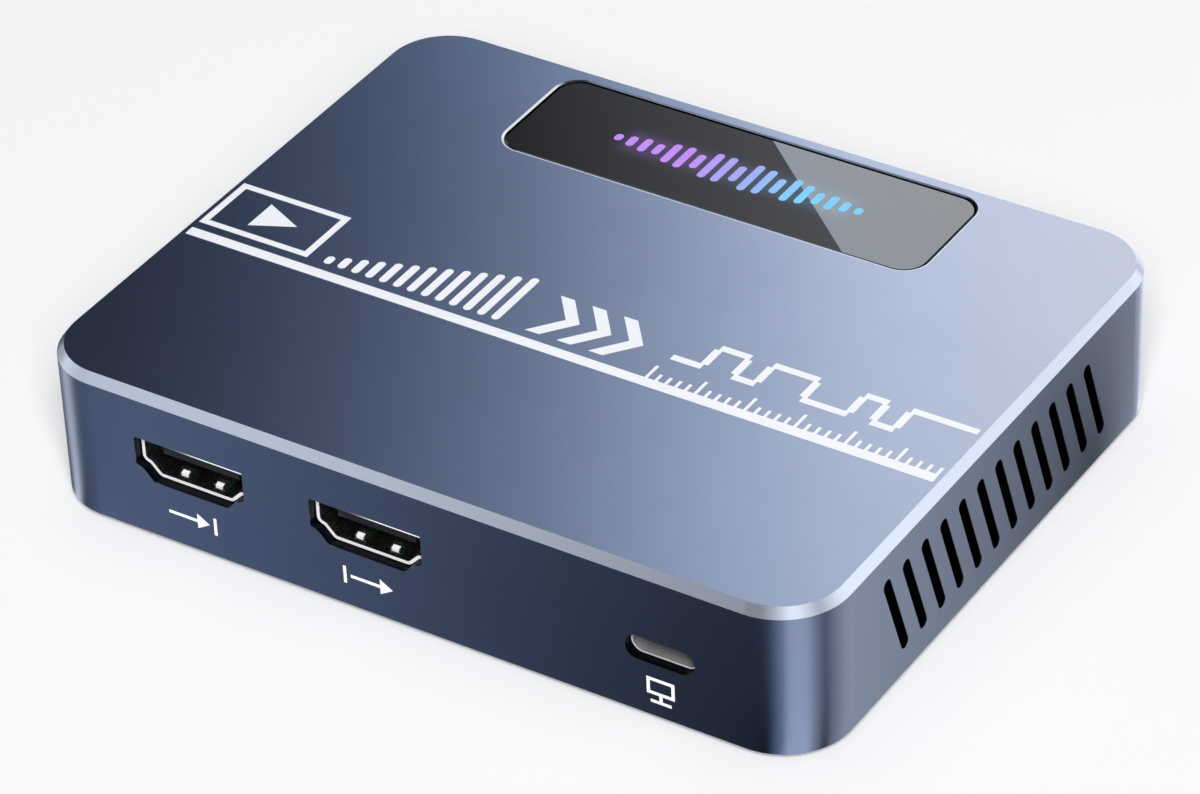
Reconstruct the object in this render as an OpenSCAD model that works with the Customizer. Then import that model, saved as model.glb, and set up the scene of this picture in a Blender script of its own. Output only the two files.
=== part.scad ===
// Video capture box: a machined aluminium housing with two video sockets, one data socket, slanted vents
// in its right side and a lit window in the roof. Sizes are in millimetres. X runs along the socket face,
// Y towards the back and Z up. The origin lies on the surface that the feet stand on, under the middle of
// the housing.

/* [Housing] */
// Width of the housing along the socket face
body_w = 104; // [96:0.5:120]
// Depth of the housing from the socket face to the back
body_d = 83; // [78:0.5:100]
// Height of the housing without its feet
body_h = 20; // [18.5:0.5:28]
// Radius of the four upright corners
corner_r = 8.4; // [7:0.1:11]
// Thickness of the walls
wall_t = 2; // [1.6:0.1:2.6]
// Thickness of the roof
roof_t = 2.4; // [2.1:0.1:3.4]
// Width of the bright bevel round the roof
bevel_in = 0.9; // [0.3:0.1:1.2]
// Height of the bright bevel round the roof
bevel_down = 1.2; // [0.3:0.1:1.8]
// Broken edge at the foot of the wall
wall_edge = 0.25; // [0.1:0.05:0.5]

/* [Base cover] */
// Thickness of the cover
cover_t = 1.6; // [1.3:0.1:2.2]
// Height of the cover's underside above the foot of the wall
cover_inset = 0.3; // [0.1:0.05:0.8]
// Width of the ledge in the wall that the cover seats on
cover_ledge = 0.9; // [0.6:0.1:1.2]
// Gap between the cover's edge and the wall
cover_gap = 0.15; // [0.05:0.05:0.3]

/* [Feet] */
// Diameter of a rubber foot
foot_d = 10; // [6:0.5:14]
// Distance from the surface that the feet stand on to the foot of the wall
foot_proud = 0.8; // [0.5:0.1:2]
// Rounded-off lower edge of a foot
foot_edge = 0.4; // [0.1:0.1:0.6]
// Depth of the pocket that a foot sits in
foot_pocket = 0.5; // [0.2:0.1:0.8]
// Gap round a foot in its pocket
foot_gap = 0.1; // [0.05:0.05:0.3]
// Distance from the housing's side to a foot's middle
foot_from_side = 22; // [18:0.5:30]
// Distance from the housing's front or back to a foot's middle
foot_from_end = 10; // [8.5:0.5:16]

/* [Cover screws] */
// Distance from the walls' outer faces to a screw post's middle
post_from_wall = 8.4; // [7:0.1:10]
// Radius of a screw post
post_r = 3.2; // [2.6:0.1:4]
// Radius of a cover screw's shank
cover_screw_r = 1.25; // [1:0.05:1.5]
// Radius of a cover screw's countersunk head
cover_screw_head_r = 2.4; // [2:0.1:2.7]
// Length of a cover screw over its head
cover_screw_len = 7; // [5:0.5:9]

/* [Small screws] */
// Distance from the housing's side to a board boss's middle
boss_from_side = 8; // [7:0.5:10]
// Distance between the front and back board bosses
boss_span = 40; // [36:1:44]
// Radius of a board boss
boss_r = 2.6; // [2:0.1:3]
// Radius of a small screw's shank
small_screw_r = 1; // [0.8:0.05:1.2]
// Radius of a small screw's pan head
small_screw_head_r = 1.9; // [1.5:0.1:2.2]
// Height of a small screw's pan head
small_screw_head_h = 1.1; // [0.8:0.1:1.4]
// Length that a small screw reaches into its boss
small_screw_bite = 2; // [1.5:0.1:2.4]
// Radial gap between any screw and its hole
screw_gap = 0.05; // [0.02:0.01:0.1]

/* [Vents] */
// Number of slots in each side
vent_count = 12; // [4:1:13]
// Distance from slot to slot
vent_pitch = 4.2; // [3:0.1:4.8]
// Width of a slot
vent_w = 1.6; // [0.8:0.1:2]
// Length of a slot from tip to tip
vent_len = 12.6; // [6:0.1:13.4]
// Angle of the slots from upright, tops towards the socket face
vent_lean = 20; // [0:1:28]
// Height of the slots' middle above the foot of the wall
vent_mid = 9.5; // [9:0.05:10]

/* [Window] */
// Width of the window panel
window_w = 57.8; // [44:0.2:64]
// Depth of the window panel
window_d = 16.9; // [15:0.1:20]
// Corner radius of the window panel
window_r = 3; // [2.6:0.1:5]
// Thickness of the window panel
window_t = 1; // [0.7:0.05:1.2]
// Depth of the panel's face below the roof
window_sunk = 0.2; // [0.05:0.05:0.3]
// Gap round the panel in its recess
window_gap = 0.2; // [0.05:0.05:0.3]
// Broken edges of the panel and of its recess
window_edge = 0.15; // [0.05:0.05:0.2]
// Distance from the housing's back to the panel
window_from_back = 2.6; // [2.2:0.1:8]
// Width of the lip that the panel is taped to
window_lip = 2.2; // [1.6:0.1:2.8]
// Thickness of the adhesive tape
tape_t = 0.15; // [0.05:0.05:0.25]

/* [Light unit] */
// Width of the diffuser's flange under the roof
flange_w = 1.2; // [0.8:0.1:1.5]
// Thickness of the diffuser's flange
flange_t = 0.8; // [0.5:0.1:1]
// Gap round the diffuser in the roof
diffuser_gap = 0.1; // [0.05:0.05:0.2]
// Height of the light box
light_box_h = 2.2; // [2:0.1:3]
// Wall of the light box
light_box_t = 1; // [0.6:0.1:1.4]
// Thickness of the light board
light_board_t = 1; // [0.6:0.1:1.2]
// Length of the light board past each end of the window
light_board_tab = 5.5; // [5:0.1:6]
// Radius of the bosses that carry the light board
light_boss_r = 2; // [1.6:0.1:2.2]
// Number of light sources
led_count = 6; // [2:1:6]
// Distance between light sources
led_pitch = 7.6; // [5.6:0.1:8.4]
// Side of a light source
led_side = 5; // [3:0.1:5.4]
// Height of a light source
led_h = 1.6; // [0.8:0.1:1.8]
// Width of the flat ribbon
ribbon_w = 5; // [3:0.5:7]
// Thickness of the flat ribbon
ribbon_t = 0.25; // [0.15:0.05:0.4]
// Length of the ribbon's straight stretch outside a socket
ribbon_run = 3; // [1:0.5:5]
// Distance from the housing's middle to the ribbon sockets
ribbon_x = 18; // [10:0.5:20]
// Height of a ribbon socket
ribbon_socket_h = 1.4; // [1.2:0.1:1.6]

/* [Video sockets] */
// Distance from the housing's left side to the video input socket's middle
video_in_from_side = 22; // [20:0.1:26]
// Distance from the video input socket to the video output socket
video_pitch = 24.2; // [19:0.1:30]
// Width of a video socket's mouth
socket_w = 14; // [13.5:0.1:15]
// Height of a video socket's mouth
socket_h = 4.55; // [4.4:0.05:5]
// Height of the mouth's upright sides, under its wide edge
socket_side = 2.95; // [2.6:0.05:3.1]
// Width of the shoulder below an upright side
socket_shoulder = 0.8; // [0.5:0.1:1.1]
// Fall of that shoulder
socket_shoulder_fall = 0.25; // [0.1:0.05:0.4]
// Width of the mouth's narrow edge
socket_flat = 9.8; // [9:0.1:10.4]
// Thickness of the socket's steel
socket_steel = 0.4; // [0.3:0.05:0.5]
// Length of the socket
socket_len = 11.8; // [11:0.1:13]
// Depth of the socket's mouth behind the socket face
socket_back = 1.2; // [0.5:0.1:1.5]
// Height of the socket's steel above the board
socket_stand = 0.5; // [0.2:0.05:0.8]
// Width of the tongue
tongue_w = 10.6; // [10:0.1:11.5]
// Thickness of the tongue
tongue_t = 1; // [0.8:0.05:1.1]
// Depth of the tongue's tip behind the mouth
tongue_back = 1.2; // [0.8:0.1:2]
// Height of the tongue's middle above the mouth's middle
tongue_rise = 0.2; // [0:0.05:0.3]
// Distance between neighbouring contacts in one row
contact_pitch = 1; // [0.9:0.05:1]
// Gap between a socket's steel and the opening in the wall
port_gap = 0.15; // [0.05:0.05:0.3]
// Radius of the corners of a video socket's opening in the wall
port_corner_r = 0.3; // [0.2:0.05:0.6]

/* [Data socket] */
// Distance from the housing's right side to the data socket's middle
data_from_side = 19.2; // [17:0.1:24]
// Width of the data socket's mouth
data_w = 8.34; // [8.2:0.02:9]
// Height of the data socket's mouth
data_h = 2.56; // [2.5:0.02:2.8]
// Thickness of the data socket's steel
data_steel = 0.2; // [0.15:0.05:0.3]
// Length of the data socket
data_len = 7.4; // [7:0.1:8.5]
// Depth of the data socket's mouth behind the socket face
data_back = 1.2; // [0.5:0.1:1.5]
// Width of the data socket's tongue
data_tongue_w = 6.7; // [6.4:0.1:7]
// Thickness of the data socket's tongue
data_tongue_t = 0.7; // [0.6:0.05:0.8]
// Depth of the data socket's tongue behind the mouth
data_tongue_back = 0.8; // [0.5:0.1:1.2]

/* [Main board] */
// Height of the board's upper face above the foot of the wall
board_up = 7.5; // [7:0.1:8]
// Thickness of the board
board_t = 1.6; // [1:0.1:2]
// Gap between the board and the walls or posts
board_gap = 0.5; // [0.3:0.1:1]

/* [Cooling] */
// Width of the heat sink
sink_w = 44; // [36:1:46]
// Depth of the heat sink
sink_d = 36; // [28:1:37]
// Thickness of the heat sink's base
sink_base = 2; // [1.2:0.1:2.6]
// Corner radius of the heat sink's base, where no fin stands
sink_corner = 1; // [0.5:0.1:2]
// Number of fins
fin_count = 10; // [4:1:12]
// Thickness of a fin
fin_t = 1.2; // [0.8:0.1:1.6]
// Gap between the fins and the roof
sink_gap = 1.1; // [0.5:0.1:2]
// Thickness of the thermal pad
pad_t = 0.5; // [0.3:0.1:1]

/* [Board layout] */
// Middle of the video processor, from the middle of the housing
processor_at = [-8, -5]; // [-10:0.5:0]
// Side of the processor's carrier
processor_side = 19; // [17:0.5:21]
// Side of the processor's moulded cap
processor_cap = 16; // [12:0.5:16.5]
// Height of the processor's carrier
carrier_h = 0.6; // [0.4:0.1:0.8]
// Height of the processor
processor_h = 1.7; // [1.4:0.1:2.2]
// Middle of the input receiver, from the left side and the front
receiver_in = [15, 32.5]; // [14:0.5:33]
// Side of the input receiver
receiver_side = 9; // [7:0.5:10]
// Middle of the output driver, from the left side and the front
driver_in = [65, 10.5]; // [10:0.5:66]
// Side of the output driver
driver_side = 8; // [6:0.5:9]
// Middle of the data controller, from the right side and the front
controller_in = [22, 21.5]; // [20:0.5:23]
// Side of the data controller
controller_side = 12; // [9:0.5:13]
// Height of the flat chips
chip_h = 0.9; // [0.7:0.05:1.2]
// Middle of the flash chip, from the right side and the front
flash_in = [34, 27.5]; // [27:0.5:34.5]
// Middle of the outer memory chip, from the right side and the back
memory_in = [17.5, 38.5]; // [16:0.5:40]
// Width and depth of a memory chip
memory_size = [9, 13]; // [8:0.5:14]
// Distance between the memory chips
memory_pitch = 11.5; // [10.5:0.5:13]
// Middle of the rear inductor, from the right side and the back
inductor_in = [18, 17]; // [16:0.5:20]
// Side of an inductor
inductor_side = 6; // [4:0.5:7]
// Height of an inductor
inductor_h = 3; // [2:0.1:4]
// Middle of the rear regulator, from the right side and the back
regulator_in = [31, 19]; // [18:0.5:32]
// Distance between the regulators
regulator_pitch = 7.5; // [7:0.1:8]
// Middle of the light controller, from the left side and the back
light_controller_in = [50, 14.5]; // [14:0.5:52]
// Distance from the left side to the bulk capacitors
bulk_from_side = 13; // [12:0.5:14]
// Diameter of a bulk capacitor
bulk_d = 6.3; // [5:0.1:6.8]
// Height of a bulk capacitor
bulk_h = 5.8; // [4:0.1:6.4]
// Distance between neighbouring ceramic capacitors
ceramic_pitch = 3; // [2:0.1:4]

/* [Hidden] */
$fn = 64;

// How far a cutter runs past the face that it opens
past = 1;
// How far a column from the roof is rooted in it
root = 0.5;
// Steps on a rounded corner of a socket outline
corner_steps = 4;

// Heights, from the surface that the feet stand on
wall_foot = foot_proud;
roof_top = wall_foot + body_h;
roof_under = roof_top - roof_t;
cover_under = wall_foot + cover_inset;
cover_top = cover_under + cover_t;
board_face = wall_foot + board_up;
board_under = board_face - board_t;
window_top = roof_top - window_sunk;
window_under = window_top - window_t;
lip_top = window_under - tape_t;
flange_under = roof_under - flange_t;
light_board_face = flange_under - light_box_h;
light_board_under = light_board_face - light_board_t;
ribbon_high = light_board_under - ribbon_socket_h / 2;
ribbon_low = board_face + ribbon_socket_h / 2;
socket_z = board_face + socket_stand + socket_steel + socket_h / 2;
tongue_z = socket_z + tongue_rise;
data_z = board_face + data_steel + data_h / 2;
sink_under = board_face + processor_h + pad_t;
sink_top = roof_under - sink_gap;

// Sides, front and back of the housing, and places along X
left_x = -body_w / 2;
right_x = body_w / 2;
back_y = body_d / 2;
front_y = -body_d / 2;
video_in_x = left_x + video_in_from_side;
video_out_x = video_in_x + video_pitch;
data_x = right_x - data_from_side;

// Places along Y
window_y = back_y - window_from_back - window_d / 2;
socket_front = front_y + socket_back;
socket_rear = socket_front + socket_len;
data_front = front_y + data_back;
data_rear = data_front + data_len;

// Outlines seen from above, as width, depth and corner radius
cavity = [body_w - 2 * wall_t, body_d - 2 * wall_t, corner_r - wall_t];
rebate = grow_rect(cavity, cover_ledge);
cover = grow_rect(rebate, -cover_gap);
board = grow_rect(cavity, -board_gap);
window = [window_w, window_d, window_r];
aperture = grow_rect(window, -window_lip);
lens = grow_rect(aperture, -diffuser_gap);
flange = grow_rect(aperture, flange_w);
light_plate = [window_w + 2 * light_board_tab, flange[1], light_board_tab / 2];

// Places of what repeats
post_places = corners(right_x - post_from_wall, back_y - post_from_wall);
foot_places = corners(right_x - foot_from_side, back_y - foot_from_end);
boss_places = corners(right_x - boss_from_side, boss_span / 2);
light_boss_x = (window_w + light_board_tab) / 2;
receiver_at = [left_x, front_y] + receiver_in;
driver_at = [left_x, front_y] + driver_in;
controller_at = [right_x - controller_in[0], front_y + controller_in[1]];
flash_at = [right_x - flash_in[0], front_y + flash_in[1]];
memory_at = [right_x, back_y] - memory_in;
inductor_at = [right_x, back_y] - inductor_in;
regulator_at = [right_x, back_y] - regulator_in;
light_controller_at = [left_x + light_controller_in[0], back_y - light_controller_in[1]];
light_boss_places = [[-light_boss_x, window_y], [light_boss_x, window_y]];

// Mouth of a video socket seen from the front, wide edge at the top, and the radii of its corners
socket_mouth = mouth_points();
mouth_radii = [0.6, 0.5, 0.5, 0.7, 0.7, 0.5, 0.5, 0.6];
// Gap between a socket's insulator and its steel, and round a contact in the insulator
insulator_gap = 0.04;
// Length of the block that carries a tongue
video_block = 5;
data_block = 2.6;

// Contacts of each kind of socket: count in the upper and lower row, and width and thickness
video_row_count = [10, 9];
video_contact = [0.4, 0.15];
data_row_count = [12, 12];
data_contact = [0.25, 0.1];
// Distance between neighbouring contacts of the data socket
data_contact_pitch = 0.5;
// Distance from the tongue's tip to a contact's tip, and from the insulator to the contacts' bends
contact_tip = 0.4;
contact_rear = 0.3;
// Length of a contact's soldered foot, and the step between the data socket's two rows of feet
contact_foot = 0.9;
data_foot_step = 1.4;

// Springs in a video socket: places beside the middle and behind the mouth, width, length and slits
spring_x = 2.4;
spring_back = 0.8;
spring_w = 1.5;
spring_len = 3.6;
spring_slit = 0.25;
// Height of a spring's crest and tip above the floor, and the crest's distance from its front
spring_crest = 0.55;
spring_tip = 0.2;
spring_crest_back = 1.2;

// Soldered legs of the sockets: width of shoulder and tail, length under the board and gap in the board
leg_shoulder = 2;
leg_tail = 1.2;
leg_under = 0.8;
leg_gap = 0.1;
// Length of a leg along the upright side of a video socket
leg_lap = 1;
// Distance from a socket's mouth to its front legs, and from its rear to its rear legs
video_legs = [3.2, 1.6];
data_legs = [2.2, 1.3];
video_leg_ys = [socket_front + video_legs[0], socket_rear - video_legs[1]];
data_leg_ys = [data_front + data_legs[0], data_rear - data_legs[1]];

// Cross recesses in the screws: length, width and depth
cover_cross = [2.9, 0.7, 1];
small_cross = [2.3, 0.6, 0.55];
// Rounded-off rim of a pan head
pan_edge = 0.35;

// Well in a light source: radius at its floor and rim, and depth
led_well = [1.6, 2, 0.4];

// Ribbon sockets: length, walls beside the ribbon, depth of the slot and gap round the ribbon in it
ribbon_socket_len = 4;
ribbon_socket_wall = 1.2;
ribbon_in = 2;
ribbon_gap = 0.1;

// Flat chips: corner radius, and radius, depth and place of the mark in the first corner
chip_corner = 0.3;
pin_mark = [0.4, 0.1, 1.2];
// Corner radius of the processor's cap and of the pad on it
cap_corner = 1;

// Leaded chips: body across, along and up, count of leads on a side and distance between them
flash_body = [5.2, 5.3, 1.7];
flash_lead_count = 4;
flash_lead_pitch = 1.27;
light_controller_body = [4.4, 6.5, 1];
light_controller_lead_count = 10;
light_controller_lead_pitch = 0.65;
regulator_body = [3.5, 6.5, 1.6];
regulator_lead_count = 3;
regulator_lead_pitch = 2.3;
// Leads: width, thickness and reach, and height of the body above the board
lead_w = 0.4;
lead_t = 0.2;
lead_reach = 1.1;
lead_lift = 0.15;

// Crystals: carrier, inset of the lid, heights of carrier and lid, and distance from the chip's edge
crystal_carrier = [3.2, 2.5, 0.4];
crystal_lid_inset = 0.25;
crystal_carrier_h = 0.4;
crystal_h = 0.8;
crystal_off = 4.5;
// Inductors: corner radius, height of the square body, rim round the core and gap between two
inductor_corner = 0.8;
inductor_body_h = 2.4;
inductor_rim = 0.45;
inductor_gap = 1.5;
// Bulk capacitors: place of the first, base's overhang and height, crimp in the can, base's corner and gap
bulk_y = 3;
bulk_overhang = 0.15;
bulk_base_h = 0.8;
bulk_crimp = 0.35;
bulk_corner = 1;
bulk_gap = 1.5;
// Ceramic capacitors: size, metal ends, how far these stand proud, and distance from the chip's edge
ceramic = [1.6, 0.8, 0.75];
ceramic_end = 0.35;
ceramic_proud = 0.03;
ceramic_off = 1.6;

function grow_rect(rect, by) = [rect[0] + 2 * by, rect[1] + 2 * by, rect[2] + by];
function corners(x, y) = [for (sx = [-1, 1], sy = [-1, 1]) [sx * x, sy * y]];
function unit(v) = v / norm(v);
function outward(a, b) = unit([b[1] - a[1], a[0] - b[0]]);
function before(points, i) = points[(i + len(points) - 1) % len(points)];
function after(points, i) = points[(i + 1) % len(points)];
function bend(points, i) = cross(points[i] - before(points, i), after(points, i) - points[i]) > 0 ? 1 : -1;

// Right half of the mouth from the bottom up, then its mirror image from the top down
function mouth_points() =
    let (
        x = socket_w / 2,
        z = socket_h / 2,
        step = z - socket_side,
        right = [
            [socket_flat / 2, -z],
            [x - socket_shoulder, step - socket_shoulder_fall],
            [x, step],
            [x, z],
        ]
    )
    concat(right, [for (i = [3 : -1 : 0]) [-right[i][0], right[i][1]]]);

// Every edge of an outline moved outwards by the same distance
function grown(points, by) = [
    for (i = [0 : len(points) - 1])
        let (
            n = outward(before(points, i), points[i]),
            m = outward(points[i], after(points, i))
        )
        points[i] + by * (n + m) / (1 + n * m)
];

// Every corner of an outline rounded by its own radius
function rounded(points, radii) = [
    for (i = [0 : len(points) - 1])
        let (
            to_last = unit(before(points, i) - points[i]),
            to_next = unit(after(points, i) - points[i]),
            half = acos(to_last * to_next) / 2,
            centre = points[i] + unit(to_last + to_next) * radii[i] / sin(half),
            start = points[i] + to_last * radii[i] / tan(half) - centre,
            sweep = bend(points, i) * (180 - 2 * half)
        )
        for (k = [0 : corner_steps])
            let (a = sweep * k / corner_steps)
            centre + [start[0] * cos(a) - start[1] * sin(a), start[0] * sin(a) + start[1] * cos(a)]
];

// Rectangle with round corners
module rounded_rect(rect) {
    square([rect[0] - 2 * rect[2], rect[1]], center = true);
    square([rect[0], rect[1] - 2 * rect[2]], center = true);
    for (at = corners(rect[0] / 2 - rect[2], rect[1] / 2 - rect[2])) {
        translate(at) circle(rect[2]);
    }
}

module plate(rect, thickness) {
    linear_extrude(thickness) rounded_rect(rect);
}

// Block with round corners whose sides follow an edge profile of [outset, height] points from bottom to top
module edged_block(rect, edge) {
    last = len(edge) - 1;
    across = function (w) concat(
        [for (p = edge) [w / 2 + p[0], p[1]]],
        [for (i = [last : -1 : 0]) [-w / 2 - edge[i][0], edge[i][1]]]
    );
    around = concat([[0, edge[0][1]]], [for (p = edge) [rect[2] + p[0], p[1]]], [[0, edge[last][1]]]);
    rotate([90, 0, 0]) linear_extrude(rect[1] - 2 * rect[2], center = true) polygon(across(rect[0]));
    rotate([90, 0, 90]) linear_extrude(rect[0] - 2 * rect[2], center = true) polygon(across(rect[1]));
    for (at = corners(rect[0] / 2 - rect[2], rect[1] / 2 - rect[2])) {
        translate(at) rotate_extrude() polygon(around);
    }
}

// Long hole with round ends, its middle at the origin
module long_hole(length, width) {
    square([length - width, width], center = true);
    for (side = [-1, 1]) {
        translate([side * (length - width) / 2, 0]) circle(width / 2);
    }
}

// Outline in the XZ plane pushed along Y from one place to another
module push_y(from, to) {
    translate([0, to, 0]) rotate([90, 0, 0]) linear_extrude(to - from) children();
}

// Outline in the YZ plane pushed along X, centred
module push_x(width) {
    rotate([90, 0, 90]) linear_extrude(width, center = true) children();
}

// Mouth of a video socket, grown all round; an outer corner's radius grows with it
module video_mouth(by) {
    polygon(rounded(grown(socket_mouth, by), [
        for (i = [0 : len(socket_mouth) - 1]) mouth_radii[i] + max(0, bend(socket_mouth, i)) * by
    ]));
}

module data_mouth(by) {
    long_hole(data_w + 2 * by, data_h + 2 * by);
}

module housing() {
    color("lightslategray") difference() {
        union() {
            housing_shell();
            roof_columns(post_places, post_r, cover_top);
            roof_columns(boss_places, boss_r, board_face);
            roof_columns(light_boss_places, light_boss_r, light_board_face);
        }
        screw_bores(post_places, cover_screw_r, cover_top, cover_screw_len - cover_t);
        screw_bores(boss_places, small_screw_r, board_face, small_screw_bite);
        screw_bores(light_boss_places, small_screw_r, light_board_face, small_screw_bite);
    }
}

// Roof and walls with every opening
module housing_shell() {
    difference() {
        translate([0, 0, wall_foot]) edged_block([body_w, body_d, corner_r], [
            [-wall_edge, 0],
            [0, wall_edge],
            [0, body_h - bevel_down],
            [-bevel_in, body_h],
        ]);
        translate([0, 0, wall_foot - past]) plate(cavity, body_h - roof_t + past);
        translate([0, 0, wall_foot - past]) plate(rebate, cover_inset + cover_t + past);
        translate([0, window_y, lip_top]) window_recess();
        translate([0, window_y, roof_under - past]) plate(aperture, roof_t + past);
        vents();
        port_openings();
    }
}

module window_recess() {
    depth = roof_top - lip_top;
    edged_block(grow_rect(window, window_gap), [
        [0, 0],
        [0, depth - window_edge],
        [window_edge + past, depth + past],
    ]);
}

module vents() {
    for (side = [0, 1], i = [0 : vent_count - 1]) {
        y = (i - (vent_count - 1) / 2) * vent_pitch;
        mirror([side, 0, 0]) translate([(body_w - wall_t) / 2, y, wall_foot + vent_mid])
            push_x(wall_t + 2 * past) rotate(90 + vent_lean) long_hole(vent_len, vent_w);
    }
}

module port_openings() {
    port = rounded(grown(socket_mouth, socket_steel + port_gap), [for (p = socket_mouth) port_corner_r]);
    for (x = [video_in_x, video_out_x]) {
        translate([x, 0, socket_z]) push_y(front_y - past, front_y + wall_t + past) polygon(port);
    }
    translate([data_x, 0, data_z]) push_y(front_y - past, front_y + wall_t + past)
        data_mouth(data_steel + port_gap);
}

// Columns that hang from the roof down to a height
module roof_columns(places, r, down_to) {
    for (at = places) {
        translate([at[0], at[1], down_to]) cylinder(r = r, h = roof_under - down_to + root);
    }
}

// Blind bores that open downwards
module screw_bores(places, r, from, depth) {
    for (at = places) {
        translate([at[0], at[1], from - past]) cylinder(r = r + screw_gap, h = depth + screw_gap + past);
    }
}

module base_cover() {
    color("slategray") difference() {
        translate([0, 0, cover_under]) plate(cover, cover_t);
        for (at = foot_places) {
            translate([at[0], at[1], cover_under - past])
                cylinder(d = foot_d + 2 * foot_gap, h = foot_pocket + past);
        }
        for (at = post_places) {
            translate([at[0], at[1], cover_under]) countersunk(screw_gap, cover_t + past);
        }
    }
}

// Countersunk head and shank, grown by a gap, from the cover's underside upwards
module countersunk(gap, length) {
    rotate_extrude() polygon([
        [0, 0],
        [cover_screw_head_r + gap, 0],
        [cover_screw_r + gap, cover_screw_head_r - cover_screw_r],
        [cover_screw_r + gap, length],
        [0, length],
    ]);
}

module base_screws() {
    color("dimgray") for (at = post_places) {
        translate([at[0], at[1], cover_under]) difference() {
            countersunk(0, cover_screw_len);
            cross_recess(cover_cross);
        }
    }
}

// Cross recess that opens downwards at the origin
module cross_recess(cross) {
    for (angle = [0, 90]) {
        rotate(angle) translate([0, 0, (cross[2] - past) / 2])
            cube([cross[0], cross[1], cross[2] + past], center = true);
    }
}

module rubber_feet() {
    r = foot_d / 2;
    color("black") for (at = foot_places) {
        translate(at) rotate_extrude() polygon([
            [0, 0],
            [r - foot_edge, 0],
            [r, foot_edge],
            [r, cover_under + foot_pocket],
            [0, cover_under + foot_pocket],
        ]);
    }
}

module window_panel() {
    color("black") translate([0, window_y, window_under]) edged_block(window, [
        [0, 0],
        [0, window_t - window_edge],
        [-window_edge, window_t],
    ]);
}

module window_tape() {
    color("gray") translate([0, window_y, lip_top]) difference() {
        plate(window, tape_t);
        translate([0, 0, -past]) plate(aperture, tape_t + 2 * past);
    }
}

module light_diffuser() {
    color("white") translate([0, window_y, flange_under]) {
        plate(flange, flange_t);
        plate(lens, lip_top - flange_under);
    }
}

module light_box() {
    color("white") translate([0, window_y, light_board_face]) difference() {
        plate(flange, light_box_h);
        translate([0, 0, -past]) plate(grow_rect(flange, -light_box_t), light_box_h + 2 * past);
    }
}

module light_board() {
    color("darkgreen") translate([0, 0, light_board_under]) difference() {
        translate([0, window_y, 0]) plate(light_plate, light_board_t);
        for (at = light_boss_places) {
            translate([at[0], at[1], -past])
                cylinder(r = small_screw_r + screw_gap, h = light_board_t + 2 * past);
        }
    }
}

module light_leds() {
    color("ivory") for (i = [0 : led_count - 1]) {
        translate([(i - (led_count - 1) / 2) * led_pitch, window_y, light_board_face]) difference() {
            translate([-led_side / 2, -led_side / 2, 0]) cube([led_side, led_side, led_h]);
            translate([0, 0, led_h - led_well[2]])
                cylinder(r1 = led_well[0], r2 = led_well[1], h = led_well[2]);
        }
    }
}

// Pan head screw driven upwards, its head's bearing face at the origin
module pan_screw(length) {
    difference() {
        rotate_extrude() polygon([
            [0, -small_screw_head_h],
            [small_screw_head_r - pan_edge, -small_screw_head_h],
            [small_screw_head_r, pan_edge - small_screw_head_h],
            [small_screw_head_r, 0],
            [small_screw_r, 0],
            [small_screw_r, length],
            [0, length],
        ]);
        translate([0, 0, -small_screw_head_h]) cross_recess(small_cross);
    }
}

module light_board_screws() {
    color("silver") for (at = light_boss_places) {
        translate([at[0], at[1], light_board_under]) pan_screw(light_board_t + small_screw_bite);
    }
}

module board_screws() {
    color("silver") for (at = boss_places) {
        translate([at[0], at[1], board_under]) pan_screw(board_t + small_screw_bite);
    }
}

// Ribbon socket: the ribbon enters from the side, at the middle of the socket's height
module ribbon_socket(z) {
    w = ribbon_w + 2 * ribbon_socket_wall;
    slot = [ribbon_in + ribbon_gap, ribbon_w + 2 * ribbon_gap, ribbon_t + 2 * ribbon_gap];
    color("ivory") translate([ribbon_x, window_y, z]) difference() {
        translate([-ribbon_socket_len / 2, -w / 2, -ribbon_socket_h / 2])
            cube([ribbon_socket_len, w, ribbon_socket_h]);
        translate([ribbon_socket_len / 2 - slot[0], -slot[1] / 2, -slot[2] / 2])
            cube([slot[0] + past, slot[1], slot[2]]);
    }
}

module light_board_socket() {
    ribbon_socket(ribbon_high);
}

module main_board_socket() {
    ribbon_socket(ribbon_low);
}

// Ribbon that leaves one socket, turns back in a half circle and enters the other
module light_ribbon() {
    turn_r = (ribbon_high - ribbon_low) / 2;
    start = ribbon_x + ribbon_socket_len / 2 - ribbon_in;
    run = ribbon_in + ribbon_run;
    turn_z = ribbon_low + turn_r;
    color("whitesmoke") translate([start, window_y, turn_z]) push_y(-ribbon_w / 2, ribbon_w / 2) {
        for (side = [-1, 1]) {
            translate([0, side * turn_r - ribbon_t / 2]) square([run, ribbon_t]);
        }
        translate([run, 0]) intersection() {
            difference() {
                circle(turn_r + ribbon_t / 2);
                circle(turn_r - ribbon_t / 2);
            }
            translate([0, -2 * turn_r]) square([2 * turn_r, 4 * turn_r]);
        }
    }
}

module main_board() {
    color("darkslategray") translate([0, 0, board_under]) difference() {
        plate(board, board_t);
        for (at = post_places) {
            translate([at[0], at[1], -past]) cylinder(r = post_r + board_gap, h = board_t + 2 * past);
        }
        for (at = boss_places) {
            translate([at[0], at[1], -past]) cylinder(r = small_screw_r + screw_gap, h = board_t + 2 * past);
        }
        for (x = [video_in_x, video_out_x]) {
            leg_slots(x, socket_w / 2, socket_steel, video_leg_ys);
        }
        leg_slots(data_x, data_w / 2, data_steel, data_leg_ys);
    }
}

// Slots in the board for a socket's legs
module leg_slots(x, half, steel, ys) {
    for (side = [-1, 1], y = ys) {
        translate([x + side * (half + steel / 2), y, board_t / 2])
            cube([steel + 2 * leg_gap, leg_tail + 2 * leg_gap, board_t + 2 * past], center = true);
    }
}

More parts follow.
